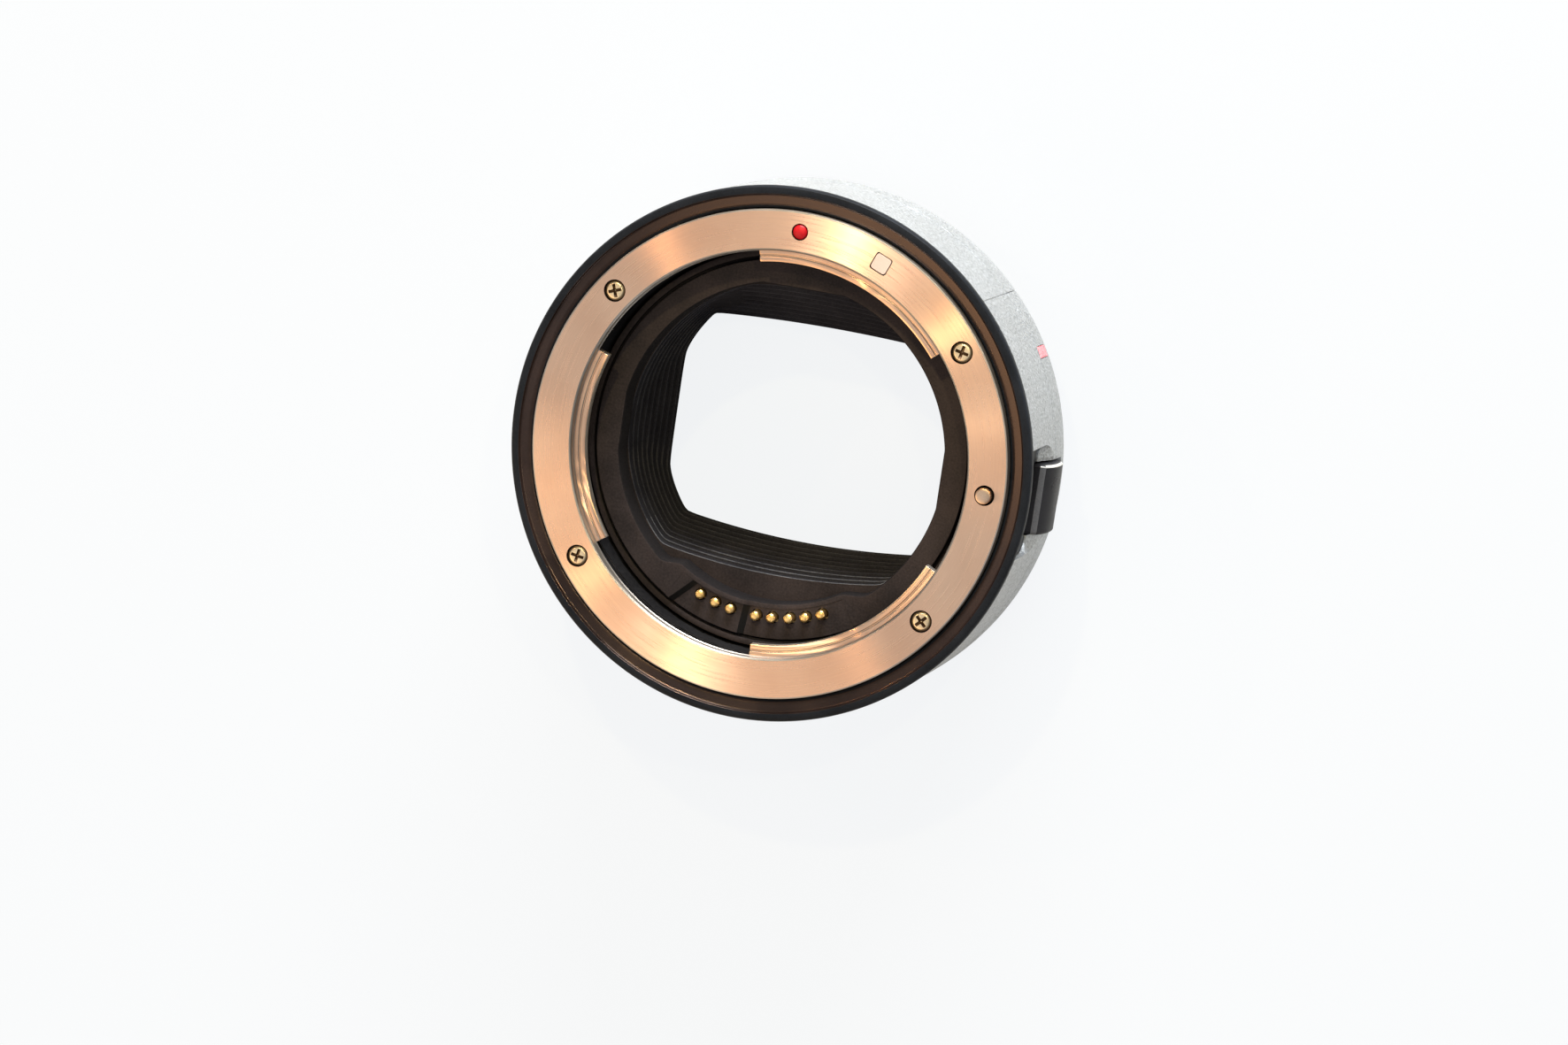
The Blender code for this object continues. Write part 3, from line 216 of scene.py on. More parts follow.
# Inner ring; its edges are (inset, drop) steps, its dip (angle, run) at each end, and its depths
# those of the seat, the ceiling and the shoulder
COVER_POINTS = 480
COVER_INNER_EDGE = ((0.0, 0.4), (0.04, 0.2), (0.14, 0.06), (0.34, 0.0))
COVER_OUTER_EDGE = ((0.24, 0.0), (0.1, 0.04), (0.03, 0.14), (0.0, 0.3))
COVER_SEAT_R = 24.4
COVER_DEPTHS = (9.4, 8.2, 8.6)
RING_DEPTH = 6.5
RING_DIP = ((174.0, 5.0), (228.0, 16.0))
DIP_REST = 0.05
OPENING_R = 22.35
OPENING_SIDE = 22.0
OPENING_TOP = 21.65
LIP_R = 20.65
LIP_OUTER_R = 21.4
RING_FACE_R = 25.5
STEP_R = (25.9, 26.7)
STEP_DEPTH = 7.0
GROOVE_DROP = 0.8
GROOVE_RIM = 0.1
WINDOW_INSET = 0.2

# Contacts; a ramp is two depths, a turn, a place and a run, and the play is a gap and an angle
BLOCK_R = 25.45
BULGE_ANGLES = (144.3, 215.7)
SHOULDERS = (8.0, 11.0)
BLOCK_ANGLES = (149.98, 211.51)
BLOCK_HIGH_DEPTH = 6.9
BLOCK_LOW_DEPTH = 7.4
BLOCK_SPARE = 2.0
BLOCK_PLAY = (0.02, 0.05)
RAMPS = ((RING_DEPTH, BLOCK_HIGH_DEPTH, -46.0, (-9.4, -19.5), 0.75),
         (BLOCK_HIGH_DEPTH, BLOCK_LOW_DEPTH, -6.0, (-2.15, -23.0), 0.85))
RAMP_REACH = (40.0, 60.0)
RAMP_TOP = 0.01
RAMP_SLOPES = (0.2, 0.95)
GUIDE_R = 0.84
PIN_R = 0.66
PIN_DOME = 0.34
PIN_SHOULDER_DEPTH = 8.8
PIN_SHOULDER_R = 0.8
PIN_SHOULDER_THICK = 0.4
PIN_STEM_R = 0.3
PIN_STEPS = 28

# Light baffle and the outlines of its two ends
BAFFLE_TOP_DEPTH = 10.7
BAFFLE_END_Z = 1.3
BAFFLE_STEPS = 9
BAFFLE_POINTS = 240
BAFFLE_LIP = 0.09
BAFFLE_LEAN = 0.14
BAFFLE_LIP_GAP = 0.35
BAFFLE_LAP = 0.01
BAFFLE_FOOT = 0.2
BAFFLE_SEAT = 0.8
BAFFLE_SOFT = 0.35
BAFFLE_SOFT_SHARE = 0.6
BAFFLE_FRONT = {"round": 22.2, "side": 22.6, "top": 21.2, "bottom": 17.35,
                "top_bow": 75.0, "bottom_bow": 88.0}
BAFFLE_REAR = {"round": 21.9, "side": 20.4, "top": 14.8, "bottom": 15.0,
               "top_bow": 210.0, "bottom_bow": 115.0}
# Ledges on the low side of the first steps are painted lighter: a painted highlight where light falls on
# them
LOW_HIGHLIGHT_Y = -13.0
LOW_HIGHLIGHT_STEPS = 2.5

# Release lever; a fall is its height, its length and its power
LEVER_FRONT_DEPTH = 9.0
LEVER_BACK_DEPTH = 16.6
LEVER_PEAK = 5.0
LEVER_RISE = 0.85
LEVER_FRONT_DROP = 0.9
LEVER_MARGIN = 0.3
LEVER_POINTS = 16
LEVER_FRONT_FALL = (1.15, 5.0, 2.4)
LEVER_BACK_FALL = (0.5, 2.6, 3)
FACET_SLOPES = (0.1, -0.45)

# Camera side; the pin's hole has a place as (radius, angle) and then its own radius
CAMERA_TUBE_R = 25.2
CAMERA_BORE_R = 24.1
LUG_ANGLES = ((-32.0, 32.0), (92.0, 146.0), (214.0, 268.0))
LUG_R = (24.6, 26.7)
LUG_Z = (0.15, 1.45)
REAR_POCKET = 0.95
REAR_PIN_HOLE = (29.78, 105.0, 1.4)
REAR_BLOCK_R = 23.85
REAR_PAD_HALF = (0.45, 0.95)
REAR_PAD_CORNER = 0.3

# Photograph's camera, as a rotation vector and a place, and lamp colours
FOCAL_LENGTH = 122.32
CAMERA_TURN = (0.140667, -0.254172, -0.165089)
CAMERA_PLACE = (170.286, 102.912, 700.189)
WARM = (1.0, 0.68, 0.36)
COOL = (0.95, 0.98, 1.0)
SOFTBOX = (0.94, 0.97, 1.0)

# Warm panels as (angle, power), and the flange's streaks as (angle, power, colour)
PANELS = ((110.0, 1.0), (152.0, 1.0), (192.0, 0.6))
PANEL_TILT = 0.3
STREAKS = ((-13.0, 1.2, (1.0, 0.82, 0.42)), (-46.0, 0.6, (1.0, 0.84, 0.48)),
           (35.0, 0.35, (1.0, 0.58, 0.28)), (-71.0, 0.12, (1.0, 0.9, 0.7)))
STREAK_TILT = 0.42
FLOOR_SIZE = 6.0
FLOOR_DROP = 0.02
FLOOR_GLOW = 0.88
FLOOR_MIRROR = 0.1


def below(depth):
    """Height of a point that lies this far under the lens flange."""
    return LENS_Z - depth


def on_circle(radius, angle):
    turn = math.radians(angle)
    return (-radius * math.sin(turn), radius * math.cos(turn))


def angle_of(x, y):
    """Angle of a point from +Y toward -X, in degrees."""
    return math.degrees(math.atan2(-x, y))


def arc(radius, start, end, count):
    return [on_circle(radius, start + (end - start) * i / count) for i in range(count + 1)]


def blend(t):
    """Smooth step from 0 to 1."""
    t = min(1.0, max(0.0, t))
    return t * t * (3 - 2 * t)


def rounded(points, radius, count=4, sharp=(), special=None):
    """Outline with its corners, but for the sharp ones, replaced by smooth arcs."""
    outline = []
    for index, corner in enumerate(points):
        if index in sharp:
            outline.append(corner)
            continue
        size = (special or {}).get(index, radius)
        ends = []
        for other in (points[index - 1], points[(index + 1) % len(points)]):
            dx = other[0] - corner[0]
            dy = other[1] - corner[1]
            length = math.hypot(dx, dy)
            reach = min(size, length / 2)
            ends.append((corner[0] + dx / length * reach, corner[1] + dy / length * reach))
        for step in range(count + 1):
            t = step / count
            weights = ((1 - t) ** 2, 2 * t * (1 - t), t ** 2)
            outline.append(tuple(
                weights[0] * ends[0][k] + weights[1] * corner[k] + weights[2] * ends[1][k]
                for k in (0, 1)))
    return outline


def rectangle(left, right, low, high):
    return [(left, low), (right, low), (right, high), (left, high)]


def moved(x, y, turn, at):
    """Point that is turned about the origin and then shifted."""
    cosine = math.cos(math.radians(turn))
    sine = math.sin(math.radians(turn))
    return (at[0] + x * cosine - y * sine, at[1] + x * sine + y * cosine)


def mesh_object(name, bm):
    bmesh.ops.remove_doubles(bm, verts=bm.verts, dist=0.0000002)
    bmesh.ops.recalc_face_normals(bm, faces=bm.faces)
    mesh = bpy.data.meshes.new(name)
    for _ in range(SLOTS):
        mesh.materials.append(None)
    bm.to_mesh(mesh)
    bm.free()
    obj = bpy.data.objects.new(name, mesh)
    bpy.context.scene.collection.objects.link(obj)
    return obj


def vertex_lines(bm, rows):
    return [[bm.verts.new([value * MM for value in point]) for point in row] for row in rows]


def skin(bm, line, following, around=True, slot=0):
    """Faces between two lines of vertices."""
    for i in range(len(line) if around else len(line) - 1):
        j = (i + 1) % len(line)
        face = bm.faces.new((line[i], line[j], following[j], following[i]))
        face.material_index = slot


def grid(name, rows, around=True, tube=True, marks=None):
    """Closed surface over rows of points; each row is a loop, or a line with caps at its ends.

    Marks give the material slot of the faces that follow a row.
    """
    bm = bmesh.new()
    lines = vertex_lines(bm, rows)
    pairs = list(zip(lines, lines[1:]))
    if tube:
        pairs.append((lines[-1], lines[0]))
    for index, pair in enumerate(pairs):
        skin(bm, *pair, around, (marks or {}).get(index, 0))
    if not around:
        bm.faces.new([line[0] for line in lines])
        bm.faces.new([line[-1] for line in reversed(lines)])
    return mesh_object(name, bm)


def turned(name, profile, at=(0.0, 0.0), steps=ROUND_STEPS):
    """Turn a profile of (radius, height) points about Z; one that starts on the axis is open."""
    rows = []
    for radius, height in profile:
        circle = [on_circle(radius, FULL_TURN * i / steps) for i in range(steps)]
        rows.append([(x + at[0], y + at[1], height) for x, y in circle])
    return grid(name, rows, tube=profile[0][0] > 0.0)


def sector(name, profile, start, end, steps):
    """Turn a closed profile through part of a circle and close both ends."""
    rows = [[(*point, height) for point in arc(radius, start, end, steps)]
            for radius, height in profile]
    return grid(name, rows, around=False)


def loft(name, rows, tip=None):
    """Closed solid through loops of points; it ends in a flat face, or in a tip."""
    bm = bmesh.new()
    lines = vertex_lines(bm, rows)
    for line, following in zip(lines, lines[1:]):
        skin(bm, line, following)
    bm.faces.new(lines[0])
    last = lines[-1]
    if tip is None:
        bm.faces.new(last)
    else:
        end = bm.verts.new([value * MM for value in tip])
        for i in range(len(last)):
            bm.faces.new((last[i], last[(i + 1) % len(last)], end))
    return mesh_object(name, bm)


def prism(name, outline, low, high, axis="Z", turn=0.0, at=(0.0, 0.0)):
    """Flat outline between two places on an axis; the outline is (x, y), (y, z) or (x, z)."""
    rows = []
    for place in (low, high):
        row = []
        for a, b in outline:
            x, y, z = {"Z": (a, b, place), "X": (place, a, b), "Y": (a, place, b)}[axis]
            row.append((*moved(x, y, turn, at), z))
        rows.append(row)
    return loft(name, rows)


def dome(radius, top, drop, steps):
    """Profile of a round tip, from the axis outward."""
    turns = [math.pi / 2 * step / steps for step in range(steps + 1)]
    return [(radius * math.sin(turn), top - drop * (1 - math.cos(turn))) for turn in turns]


def rod(name, x, y, radius, low, high, steps=SMALL_STEPS):
    profile = [(0.0, low), (radius, low), (radius, high), (0.0, high)]
    return turned(name, profile, (x, y), steps)


def pocket(node, radius, low, high):
    """Cutter for a round pocket at a node's place."""
    x, y, _ = middle(node)
    return rod("pocket", x, y, radius, low, high)


def apply(obj):
    """Turn the object's modifiers into its mesh."""
    graph = bpy.context.evaluated_depsgraph_get()
    mesh = bpy.data.meshes.new_from_object(obj.evaluated_get(graph))
    obj.modifiers.clear()
    obj.data = mesh
    return obj


def combine(obj, others, operation="DIFFERENCE", slot=0):
    """Cut the other objects out of this one, or join them to it, and delete them.

    The faces that they leave get the slot.
    """
    for other in others:
        for face in other.data.polygons:
            face.material_index = slot
        change = obj.modifiers.new("combine", "BOOLEAN")
        change.operation = operation
        change.solver = "EXACT"
        change.object = other
    apply(obj)
    for other in others:
        bpy.data.objects.remove(other, do_unlink=True)
    return obj


def soften(obj, width, segments=2, angle=50.0):
    """Round the sharp edges."""
    edge = obj.modifiers.new("edge", "BEVEL")
    edge.width = width * MM
    edge.segments = segments
    edge.limit_method = "ANGLE"
    edge.angle_limit = math.radians(angle)
    edge.use_clamp_overlap = True
    return apply(obj)


def paint(obj, index, rule):
    """Give a material slot to the faces whose (radius, height, slope) meet the rule."""
    for face in obj.data.polygons:
        x, y, z = face.center / MM
        if rule(math.hypot(x, y), z, face.normal.z):
            face.material_index = index


def dress(obj, finishes, nodes, body="housing", angle=32.0):
    """Finish a piece: its materials, smooth shading, and the node and body that it belongs to."""
    obj.data.shade_smooth()
    obj.data.set_sharp_from_angle(angle=math.radians(angle))
    normals = obj.modifiers.new("normals", "WEIGHTED_NORMAL")
    normals.keep_sharp = True
    apply(obj)
    indexes = [face.material_index for face in obj.data.polygons]
    obj.data.materials.clear()
    for finish in finishes:
        obj.data.materials.append(finish)
    for face, index in zip(obj.data.polygons, indexes):
        face.material_index = index
    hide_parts(*nodes)
    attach(obj, body)
    return obj


def srgb(red, green, blue):
    """Linear colour of a display colour in 0 to 255."""
    linear = []
    for value in (red, green, blue):
        value /= 255
        linear.append(value / 12.92 if value <= 0.04045 else ((value + 0.055) / 1.055) ** 2.4)
    return (*linear, 1.0)


def add(tree, kind, inputs=None, **settings):
    """New node with its settings, and its inputs set or linked."""
    node = tree.nodes.new("ShaderNode" + kind)
    for key, value in settings.items():
        setattr(node, key, value)
    for key, value in (inputs or {}).items():
        if isinstance(value, bpy.types.NodeSocket):
            tree.links.new(value, node.inputs[key])
        else:
            node.inputs[key].default_value = value
    return node


def new_finish(name, roughness, metallic, shine=0.5, tint=(1.0, 1.0, 1.0, 1.0)):
    """Material with a Principled shader; returns it with its node tree and shader."""
    material = bpy.data.materials.new(name)
    material.use_nodes = True
    tree = material.node_tree
    shader = tree.nodes["Principled BSDF"]
    values = {"Roughness": roughness, "Metallic": metallic, "Specular IOR Level": shine,
              "Specular Tint": tint}
    for key, value in values.items():
        shader.inputs[key].default_value = value
    return material, tree, shader


def place(tree):
    return add(tree, "TexCoord").outputs["Object"]


def noise(tree, vector, scale, detail=2.0, roughness=0.5):
    node = add(tree, "TexNoise", {"Vector": vector, "Scale": scale, "Detail": detail,
                                  "Roughness": roughness})
    return node.outputs["Fac"]


def spread(tree, value, low, high, out_low=0.0, out_high=1.0):
    node = add(tree, "MapRange", {"Value": value, "From Min": low, "From Max": high,
                                  "To Min": out_low, "To Max": out_high})
    return node.outputs["Result"]


def calc(tree, operation, first, second):
    return add(tree, "Math", {0: first, 1: second}, operation=operation).outputs[0]


def mixed(tree, factor, first, second):
    node = add(tree, "Mix", data_type="RGBA")
    tree.links.new(factor, node.inputs["Factor"])
    for socket, value in ((node.inputs[6], first), (node.inputs[7], second)):
        if isinstance(value, bpy.types.NodeSocket):
            tree.links.new(value, socket)
        else:
            socket.default_value = value
    return node.outputs[2]


def bump(tree, shader, height, distance, strength=1.0):
    node = add(tree, "Bump", {"Height": height, "Distance": distance * MM, "Strength": strength})
    tree.links.new(node.outputs["Normal"], shader.inputs["Normal"])


def lathe_lines(tree, along, across):
    """Fine lines that run round the axis: noise that changes slowly along them and fast across."""
    parts = add(tree, "SeparateXYZ", {"Vector": place(tree)}).outputs
    flat = add(tree, "CombineXYZ", {"X": parts["X"], "Y": parts["Y"]}).outputs["Vector"]
    unit = add(tree, "VectorMath", {0: flat}, operation="NORMALIZE").outputs["Vector"]
    radius = add(tree, "VectorMath", {0: flat}, operation="LENGTH").outputs["Value"]
    reach = calc(tree, "ADD", radius, parts["Z"])
    fine = calc(tree, "MULTIPLY", reach, across / MM)
    sides = add(tree, "SeparateXYZ", {"Vector": unit}).outputs
    turn = [calc(tree, "MULTIPLY", sides[key], along) for key in ("X", "Y")]
    vector = add(tree, "CombineXYZ", {"X": turn[0], "Y": turn[1], "Z": fine}).outputs["Vector"]
    return noise(tree, vector, 1.0, 3.0, 0.6)


def brushed(name, light, dark, roughness, anisotropy=0.95, relief=0.006):
    """Turned metal: lines round the axis, with highlights that run out along the radius."""
    material, tree, shader = new_finish(name, roughness, 1.0)
    lines = lathe_lines(tree, 3.4, 4.2)
    patches = noise(tree, place(tree), 130.0, 3.0)
    shade = calc(tree, "ADD", lines, patches)
    colour = mixed(tree, spread(tree, shade, 0.72, 1.28), srgb(*dark), srgb(*light))
    tree.links.new(colour, shader.inputs["Base Color"])
    grain = spread(tree, lines, 0.3, 0.7, roughness - 0.05, roughness + 0.05)
    tree.links.new(grain, shader.inputs["Roughness"])
    shader.inputs["Anisotropic"].default_value = anisotropy
    shader.inputs["Anisotropic Rotation"].default_value = 0.25
    tangent = add(tree, "Tangent", direction_type="RADIAL", axis="Z").outputs["Tangent"]
    tree.links.new(tangent, shader.inputs["Tangent"])
    bump(tree, shader, lines, relief, 0.6)
    return material


def grained(name, light, dark, roughness, metallic=0.0, grain=0.25, relief=0.02, patches=0.5,
            **looks):
    """Moulded, painted or cast surface: even grain with soft patches of colour."""
    material, tree, shader = new_finish(name, roughness, metallic, **looks)
    spot = place(tree)
    fine = noise(tree, spot, 1.0 / (grain * MM), 3.0, 0.6)
    wide = noise(tree, spot, 160.0, 4.0, 0.55)
    part = calc(tree, "MULTIPLY", wide, patches)
    rest = calc(tree, "MULTIPLY", fine, 1.0 - patches)
    shade = calc(tree, "ADD", part, rest)
    colour = mixed(tree, spread(tree, shade, 0.36, 0.64), srgb(*dark), srgb(*light))
    tree.links.new(colour, shader.inputs["Base Color"])
    gloss = spread(tree, wide, 0.3, 0.7, roughness - 0.06, roughness + 0.06)
    tree.links.new(gloss, shader.inputs["Roughness"])
    bump(tree, shader, fine, relief, 0.8)
    return material


FLANGE_FACE = brushed("brushed_flange", (248, 204, 170), (236, 188, 154), 0.3, 1.0)
# Pale neutral metal on the walls, chamfers and rounded edges of the rings and claws: a painted highlight
# for the light lines along them
EDGE_HIGHLIGHT = brushed("edge_highlight_metal", (186, 178, 170), (150, 142, 134), 0.42, 0.5)
CLAW_FACE = brushed("brushed_claws", (248, 204, 168), (226, 178, 144), 0.3, 1.0)
REAR_FACE = brushed("brushed_rear_flange", (206, 200, 192), (168, 162, 154), 0.34)
COLLAR_DARK = grained("collar_dark", (26, 25, 26), (15, 14, 15), 0.8, shine=0.02)
SCREW_METAL = grained(
    "screw_champagne", (242, 222, 186), (206, 180, 142), 0.36, metallic=1.0, grain=0.12, relief=0.004)
# Dark brown in the screws' cross recesses: painted shade in the hollow
RECESS_SHADE = grained(
    "recess_shade", (104, 76, 50), (52, 36, 22), 0.45, metallic=0.7, grain=0.1, relief=0.004)
PIN_STEEL = grained(
    "pin_steel", (214, 188, 164), (178, 150, 128), 0.34, metallic=1.0, grain=0.15, relief=0.003)
# Dark brown on the walls of the flange's pockets: painted shade in the hollows
POCKET_SHADE = grained("pocket_shade", (70, 52, 40), (36, 26, 20), 0.5, metallic=0.4)
DOT_RED = grained(
    "dot_enamel", (188, 18, 28), (150, 8, 18), 0.36, grain=0.4, relief=0.004, shine=0.25)
SQUARE_WHITE = grained(
    "square_paint", (224, 198, 188), (210, 182, 170), 0.5, grain=0.2, relief=0.003, shine=0.2)
MARK_RED = grained("mark_enamel", (244, 176, 182), (226, 74, 88), 0.45, grain=0.3, patches=0.2)
RIM_BLACK = grained("rim_paint", (32, 35, 41), (18, 20, 24), 0.4, grain=0.16, shine=0.08)
RIM_GLOSS = grained(
    "rim_gloss", (36, 26, 23), (21, 15, 14), 0.24, grain=0.3, relief=0.003, shine=0.7,
    tint=(1.0, 0.71, 0.6, 1.0))
SHELL_SILVER = grained(
    "shell_silver", (192, 195, 199), (144, 147, 151), 0.4, metallic=0.6, grain=0.36, relief=0.22,
    patches=0.06)
PLASTIC = grained(
    "matte_plastic", (58, 50, 50), (34, 29, 30), 0.65, grain=0.3, patches=0.6, shine=0.15)
# Darker tone on the inner ring's walls and on its faces from the groove down: painted shade
WALL_SHADE = grained("wall_shade", (42, 39, 40), (30, 28, 29), 0.8, grain=0.3, relief=0.01, shine=0.02)
BAFFLE_BLACK = grained("baffle_black", (58, 57, 61), (42, 41, 45), 0.85, relief=0.01, shine=0.0)
# Lighter grey on the ledge of each step: painted highlight lines
BAFFLE_LEDGE_HIGHLIGHT = grained(
    "baffle_ledge_highlight", (70, 70, 75), (48, 48, 53), 0.7, grain=0.3, relief=0.005, shine=0.02)
# Lighter grey on the low ledges of the first steps: a painted highlight
BAFFLE_LOW_HIGHLIGHT = grained(
    "baffle_low_highlight", (106, 107, 112), (62, 63, 68), 0.6, grain=0.5, relief=0.005, shine=0.1)
# Near black on the contact block's ramps and the pins' guide holes: painted shade
RAMP_SHADE = grained("ramp_shade", (20, 19, 20), (12, 11, 12), 0.6, grain=0.2, relief=0.01, shine=0.2)
GOLD = grained("pin_gold", (255, 222, 158), (244, 190, 104), 0.34, metallic=1.0, grain=0.15, relief=0.003)
LEVER_SATIN = grained(
    "lever_satin", (46, 46, 50), (34, 33, 36), 0.3, grain=0.15, relief=0.006, shine=0.04)
# Near white on the rounded +Y end of the lever: a painted highlight
LEVER_END_HIGHLIGHT = grained(
    "lever_end_highlight", (226, 224, 220), (190, 188, 184), 0.35, metallic=0.3, grain=0.15, relief=0.005)
# Mid grey on the lever's front facet and on faces that fall away at its back: a painted highlight
LEVER_FACET_HIGHLIGHT = grained(
    "lever_facet_highlight", (112, 112, 115), (84, 84, 87), 0.4, grain=0.15, relief=0.006, shine=0.05)
CAST_ALLOY = grained(
    "cast_alloy", (34, 33, 34), (20, 19, 20), 0.8, grain=0.5, relief=0.04, shine=0.03)
SPRING_STEEL = grained(
    "spring_steel", (190, 190, 192), (150, 150, 154), 0.3, metallic=1.0, grain=0.1, relief=0.003)
SHEET_STEEL = grained(
    "sheet_steel", (196, 192, 186), (160, 156, 150), 0.35, metallic=1.0, grain=0.2, relief=0.004)
BOARD_GREEN = grained("board_laminate", (40, 96, 62), (24, 66, 42), 0.4, grain=0.6, relief=0.004)
FLEX_AMBER = grained("flex_film", (190, 128, 48), (158, 98, 30), 0.3, grain=0.5, relief=0.003)


def lens_flange():
    """Turned ring with pockets for the screws, marks and lock pin, and its dark collar."""
    wall = THROAT_R + COLLAR_STEP
    collar_r = THROAT_R + WALL
    lip_r = THROAT_R - THROAT_LIP
    foot = below(COLLAR_DEPTH)
    back = below(FLANGE_THICK)
    ledge = below(LEDGE_DEPTH + COLLAR_STEP)
    profile = [
        (FLANGE_R, LENS_Z), (FLANGE_R, back), (collar_r, back), (collar_r, foot), (wall, foot),
        (wall, ledge), (lip_r, ledge), (lip_r, below(LEDGE_DEPTH)),
        (THROAT_R, below(LEDGE_DEPTH - THROAT_LIP))]
    profile += [(radius, below(depth)) for radius, depth in THROAT_CHAMFER]
    ring = turned("lens_flange", rounded(profile, 0.05, 2, special={0: FLANGE_EDGE}))
    above = below(-OVERSHOOT)
    bed = below(HEAD_THICK + HEAD_ROOM)
    cutters = [pocket(f"mount_screw_{number}", HEAD_R + HEAD_PLAY, bed, above) for number in SCREWS]
    cutters.append(pocket("lock_pin", LOCK_HOLE_R, back - OVERSHOOT, above))
    cutters.append(pocket("red_index_dot", DOT_HOLE_R, below(DOT_HOLE_DEPTH), above))
    x, y, _ = middle("white_index_square")
    cutters.append(prism("pocket", square_outline(SQUARE_HOLE_SIDE), below(SQUARE_HOLE_DEPTH), above,
                         turn=angle_of(x, y), at=(x, y)))
    # Walls and chamfers get the painted edge highlight
    paint(ring, 1, lambda r, z, slope: slope < FLAT_SLOPE)
    paint(ring, 2, lambda r, z, slope: z < below(LEDGE_DEPTH + EDGE_STRIP))
    # The pockets' walls take slot 3, the painted shade
    combine(ring, cutters, slot=3)
    soften(ring, 0.1, angle=55.0)
    # Rounded top edges get the painted edge highlight too
    paint(ring, 1, lambda r, z, slope: EDGE_SLOPE < slope < FLAT_SLOPE and z > below(EDGE_STRIP))
    dress(ring, [FLANGE_FACE, EDGE_HIGHLIGHT, COLLAR_DARK, POCKET_SHADE],
          ["front_mount_ring"])


def square_outline(side):
    half = side / 2
    return rounded(rectangle(-half, half, -half, half), SQUARE_CORNER, 5)


def claws():
    """Three bayonet claws under the flange, each with a groove and a rounded inner edge."""
    root = THROAT_R + CLAW_ROOT
    points = [(root, LEDGE_DEPTH), *CLAW_GROOVE, (CLAW_R, CLAW_TOP), (CLAW_R, CLAW_BOTTOM),
              (root, CLAW_BOTTOM)]
    profile = [(radius, below(depth)) for radius, depth in points]
    profile = rounded(profile, 0.06, 2, sharp=(0, 7), special={5: 0.24, 6: 0.2})
    for number, (start, end) in enumerate(CLAW_ANGLES, 1):
        claw = sector(f"bayonet_claw_{number}", profile, start, end, 96)
        soften(claw, 0.18, 3, 60.0)
        # Claw sides and rounded edges get the painted edge highlight
        paint(claw, 1, lambda r, z, slope: slope < CLAW_SLOPE)
        dress(claw, [CLAW_FACE, EDGE_HIGHLIGHT], ["front_mount_ring"])


def fastener(name, node, top, up, turn):
    """Domed cross recess screw that stands in for a node's screw."""
    low, high = edges(node)
    x, y, _ = middle(node)
    reach = high[2] - low[2]
    profile = [*HEAD_PROFILE, (SHANK_R, -reach), (0.0, -reach)]
    profile = rounded(profile, 0.08, 3, sharp=(0, 1, 2, 6, 7, 8, 9))
    screw = turned(name, [(r, top + up * z) for r, z in profile], (x, y), SMALL_STEPS)
    # The recess's faces take slot 1, the painted shade; those near its middle go back to metal
    combine(screw, [cross_recess(x, y, top, up, turn)], slot=1)
    soften(screw, 0.03, angle=40.0)
    centre = Vector((x * MM, y * MM))
    for face in screw.data.polygons:
        if face.material_index == 1 and (face.center.xy - centre).length < RECESS_HALF * MM:
            face.material_index = 0
    dress(screw, [SCREW_METAL, RECESS_SHADE], [node])


def cross_recess(x, y, top, up, turn):
    """Cutter for a cross recess with sloped arms round a raised middle."""
    rows = []
    for height, reach, half in RECESS_ROWS:
        arm = [(reach, -half), (reach, half), (half, half)]
        cross = []
        for _ in range(4):
            cross += arm
            arm = [(-b, a) for a, b in arm]
        rows.append([(*moved(a, b, turn, (x, y)), top + up * height) for a, b in cross])
    return loft("recess", rows, (x, y, top - up * RECESS_MIDDLE))


def mark_block(name, inner, outer, play=0.0, edge=None):
    """Part of a ring at the place of the barrel's index mark."""
    low, high = edges("barrel_index_mark")
    x, y, _ = middle("barrel_index_mark")
    bottom = low[2] - play
    top = high[2] + play
    outline = [(inner, bottom), (inner, top), (outer, top), (outer, bottom)]
    if edge is not None:
        outline = rounded(outline, edge, 2)
    half = math.degrees((MARK_HALF + play) / BODY_R)
    return sector(name, outline, angle_of(x, y) - half, angle_of(x, y) + half, 8)


def marks():
    """Red dot and white square in the flange, and the red line on the barrel."""
    x, y, _ = middle("red_index_dot")
    profile = dome(DOT_R, DOT_RISE, DOT_DOME, 10) + [(DOT_R, -DOT_FOOT), (0.0, -DOT_FOOT)]
    dot = turned("red_dot", [(r, LENS_Z + z) for r, z in profile], (x, y), SMALL_STEPS)
    dress(dot, [DOT_RED], ["red_index_dot"])
    x, y, _ = middle("white_index_square")
    low, high = [below(depth) for depth in SQUARE_DEPTHS]
    square = prism("white_square", square_outline(SQUARE_SIDE), low, high, turn=angle_of(x, y),
                   at=(x, y))
    soften(square, 0.05)
    dress(square, [SQUARE_WHITE], ["white_index_square"])
    line = mark_block("barrel_mark", BODY_R - MARK_THICK, BODY_R + MARK_RISE, edge=0.04)
    soften(line, 0.06, angle=60.0)
    dress(line, [MARK_RED], ["barrel_index_mark"])


def lock_pin():
    """Steel pin with a chamfered tip, on the release's body."""
    x, y, _ = middle("lock_pin")
    low, high = edges("lock_pin")
    shoulder = below(LOCK_SHOULDER_DEPTH)
    profile = [
        (0.0, high[2]), (LOCK_PIN_R, high[2]), (LOCK_PIN_R, shoulder), (LOCK_STEM_R, shoulder),
        (LOCK_STEM_R, low[2]), (0.0, low[2])]
    profile = rounded(profile, 0.05, 2, sharp=(0, 5), special={1: 0.3})
    pin = turned("lock_pin_steel", profile, (x, y), SMALL_STEPS)
    dress(pin, [PIN_STEEL], ["lock_pin"], "lens_release")


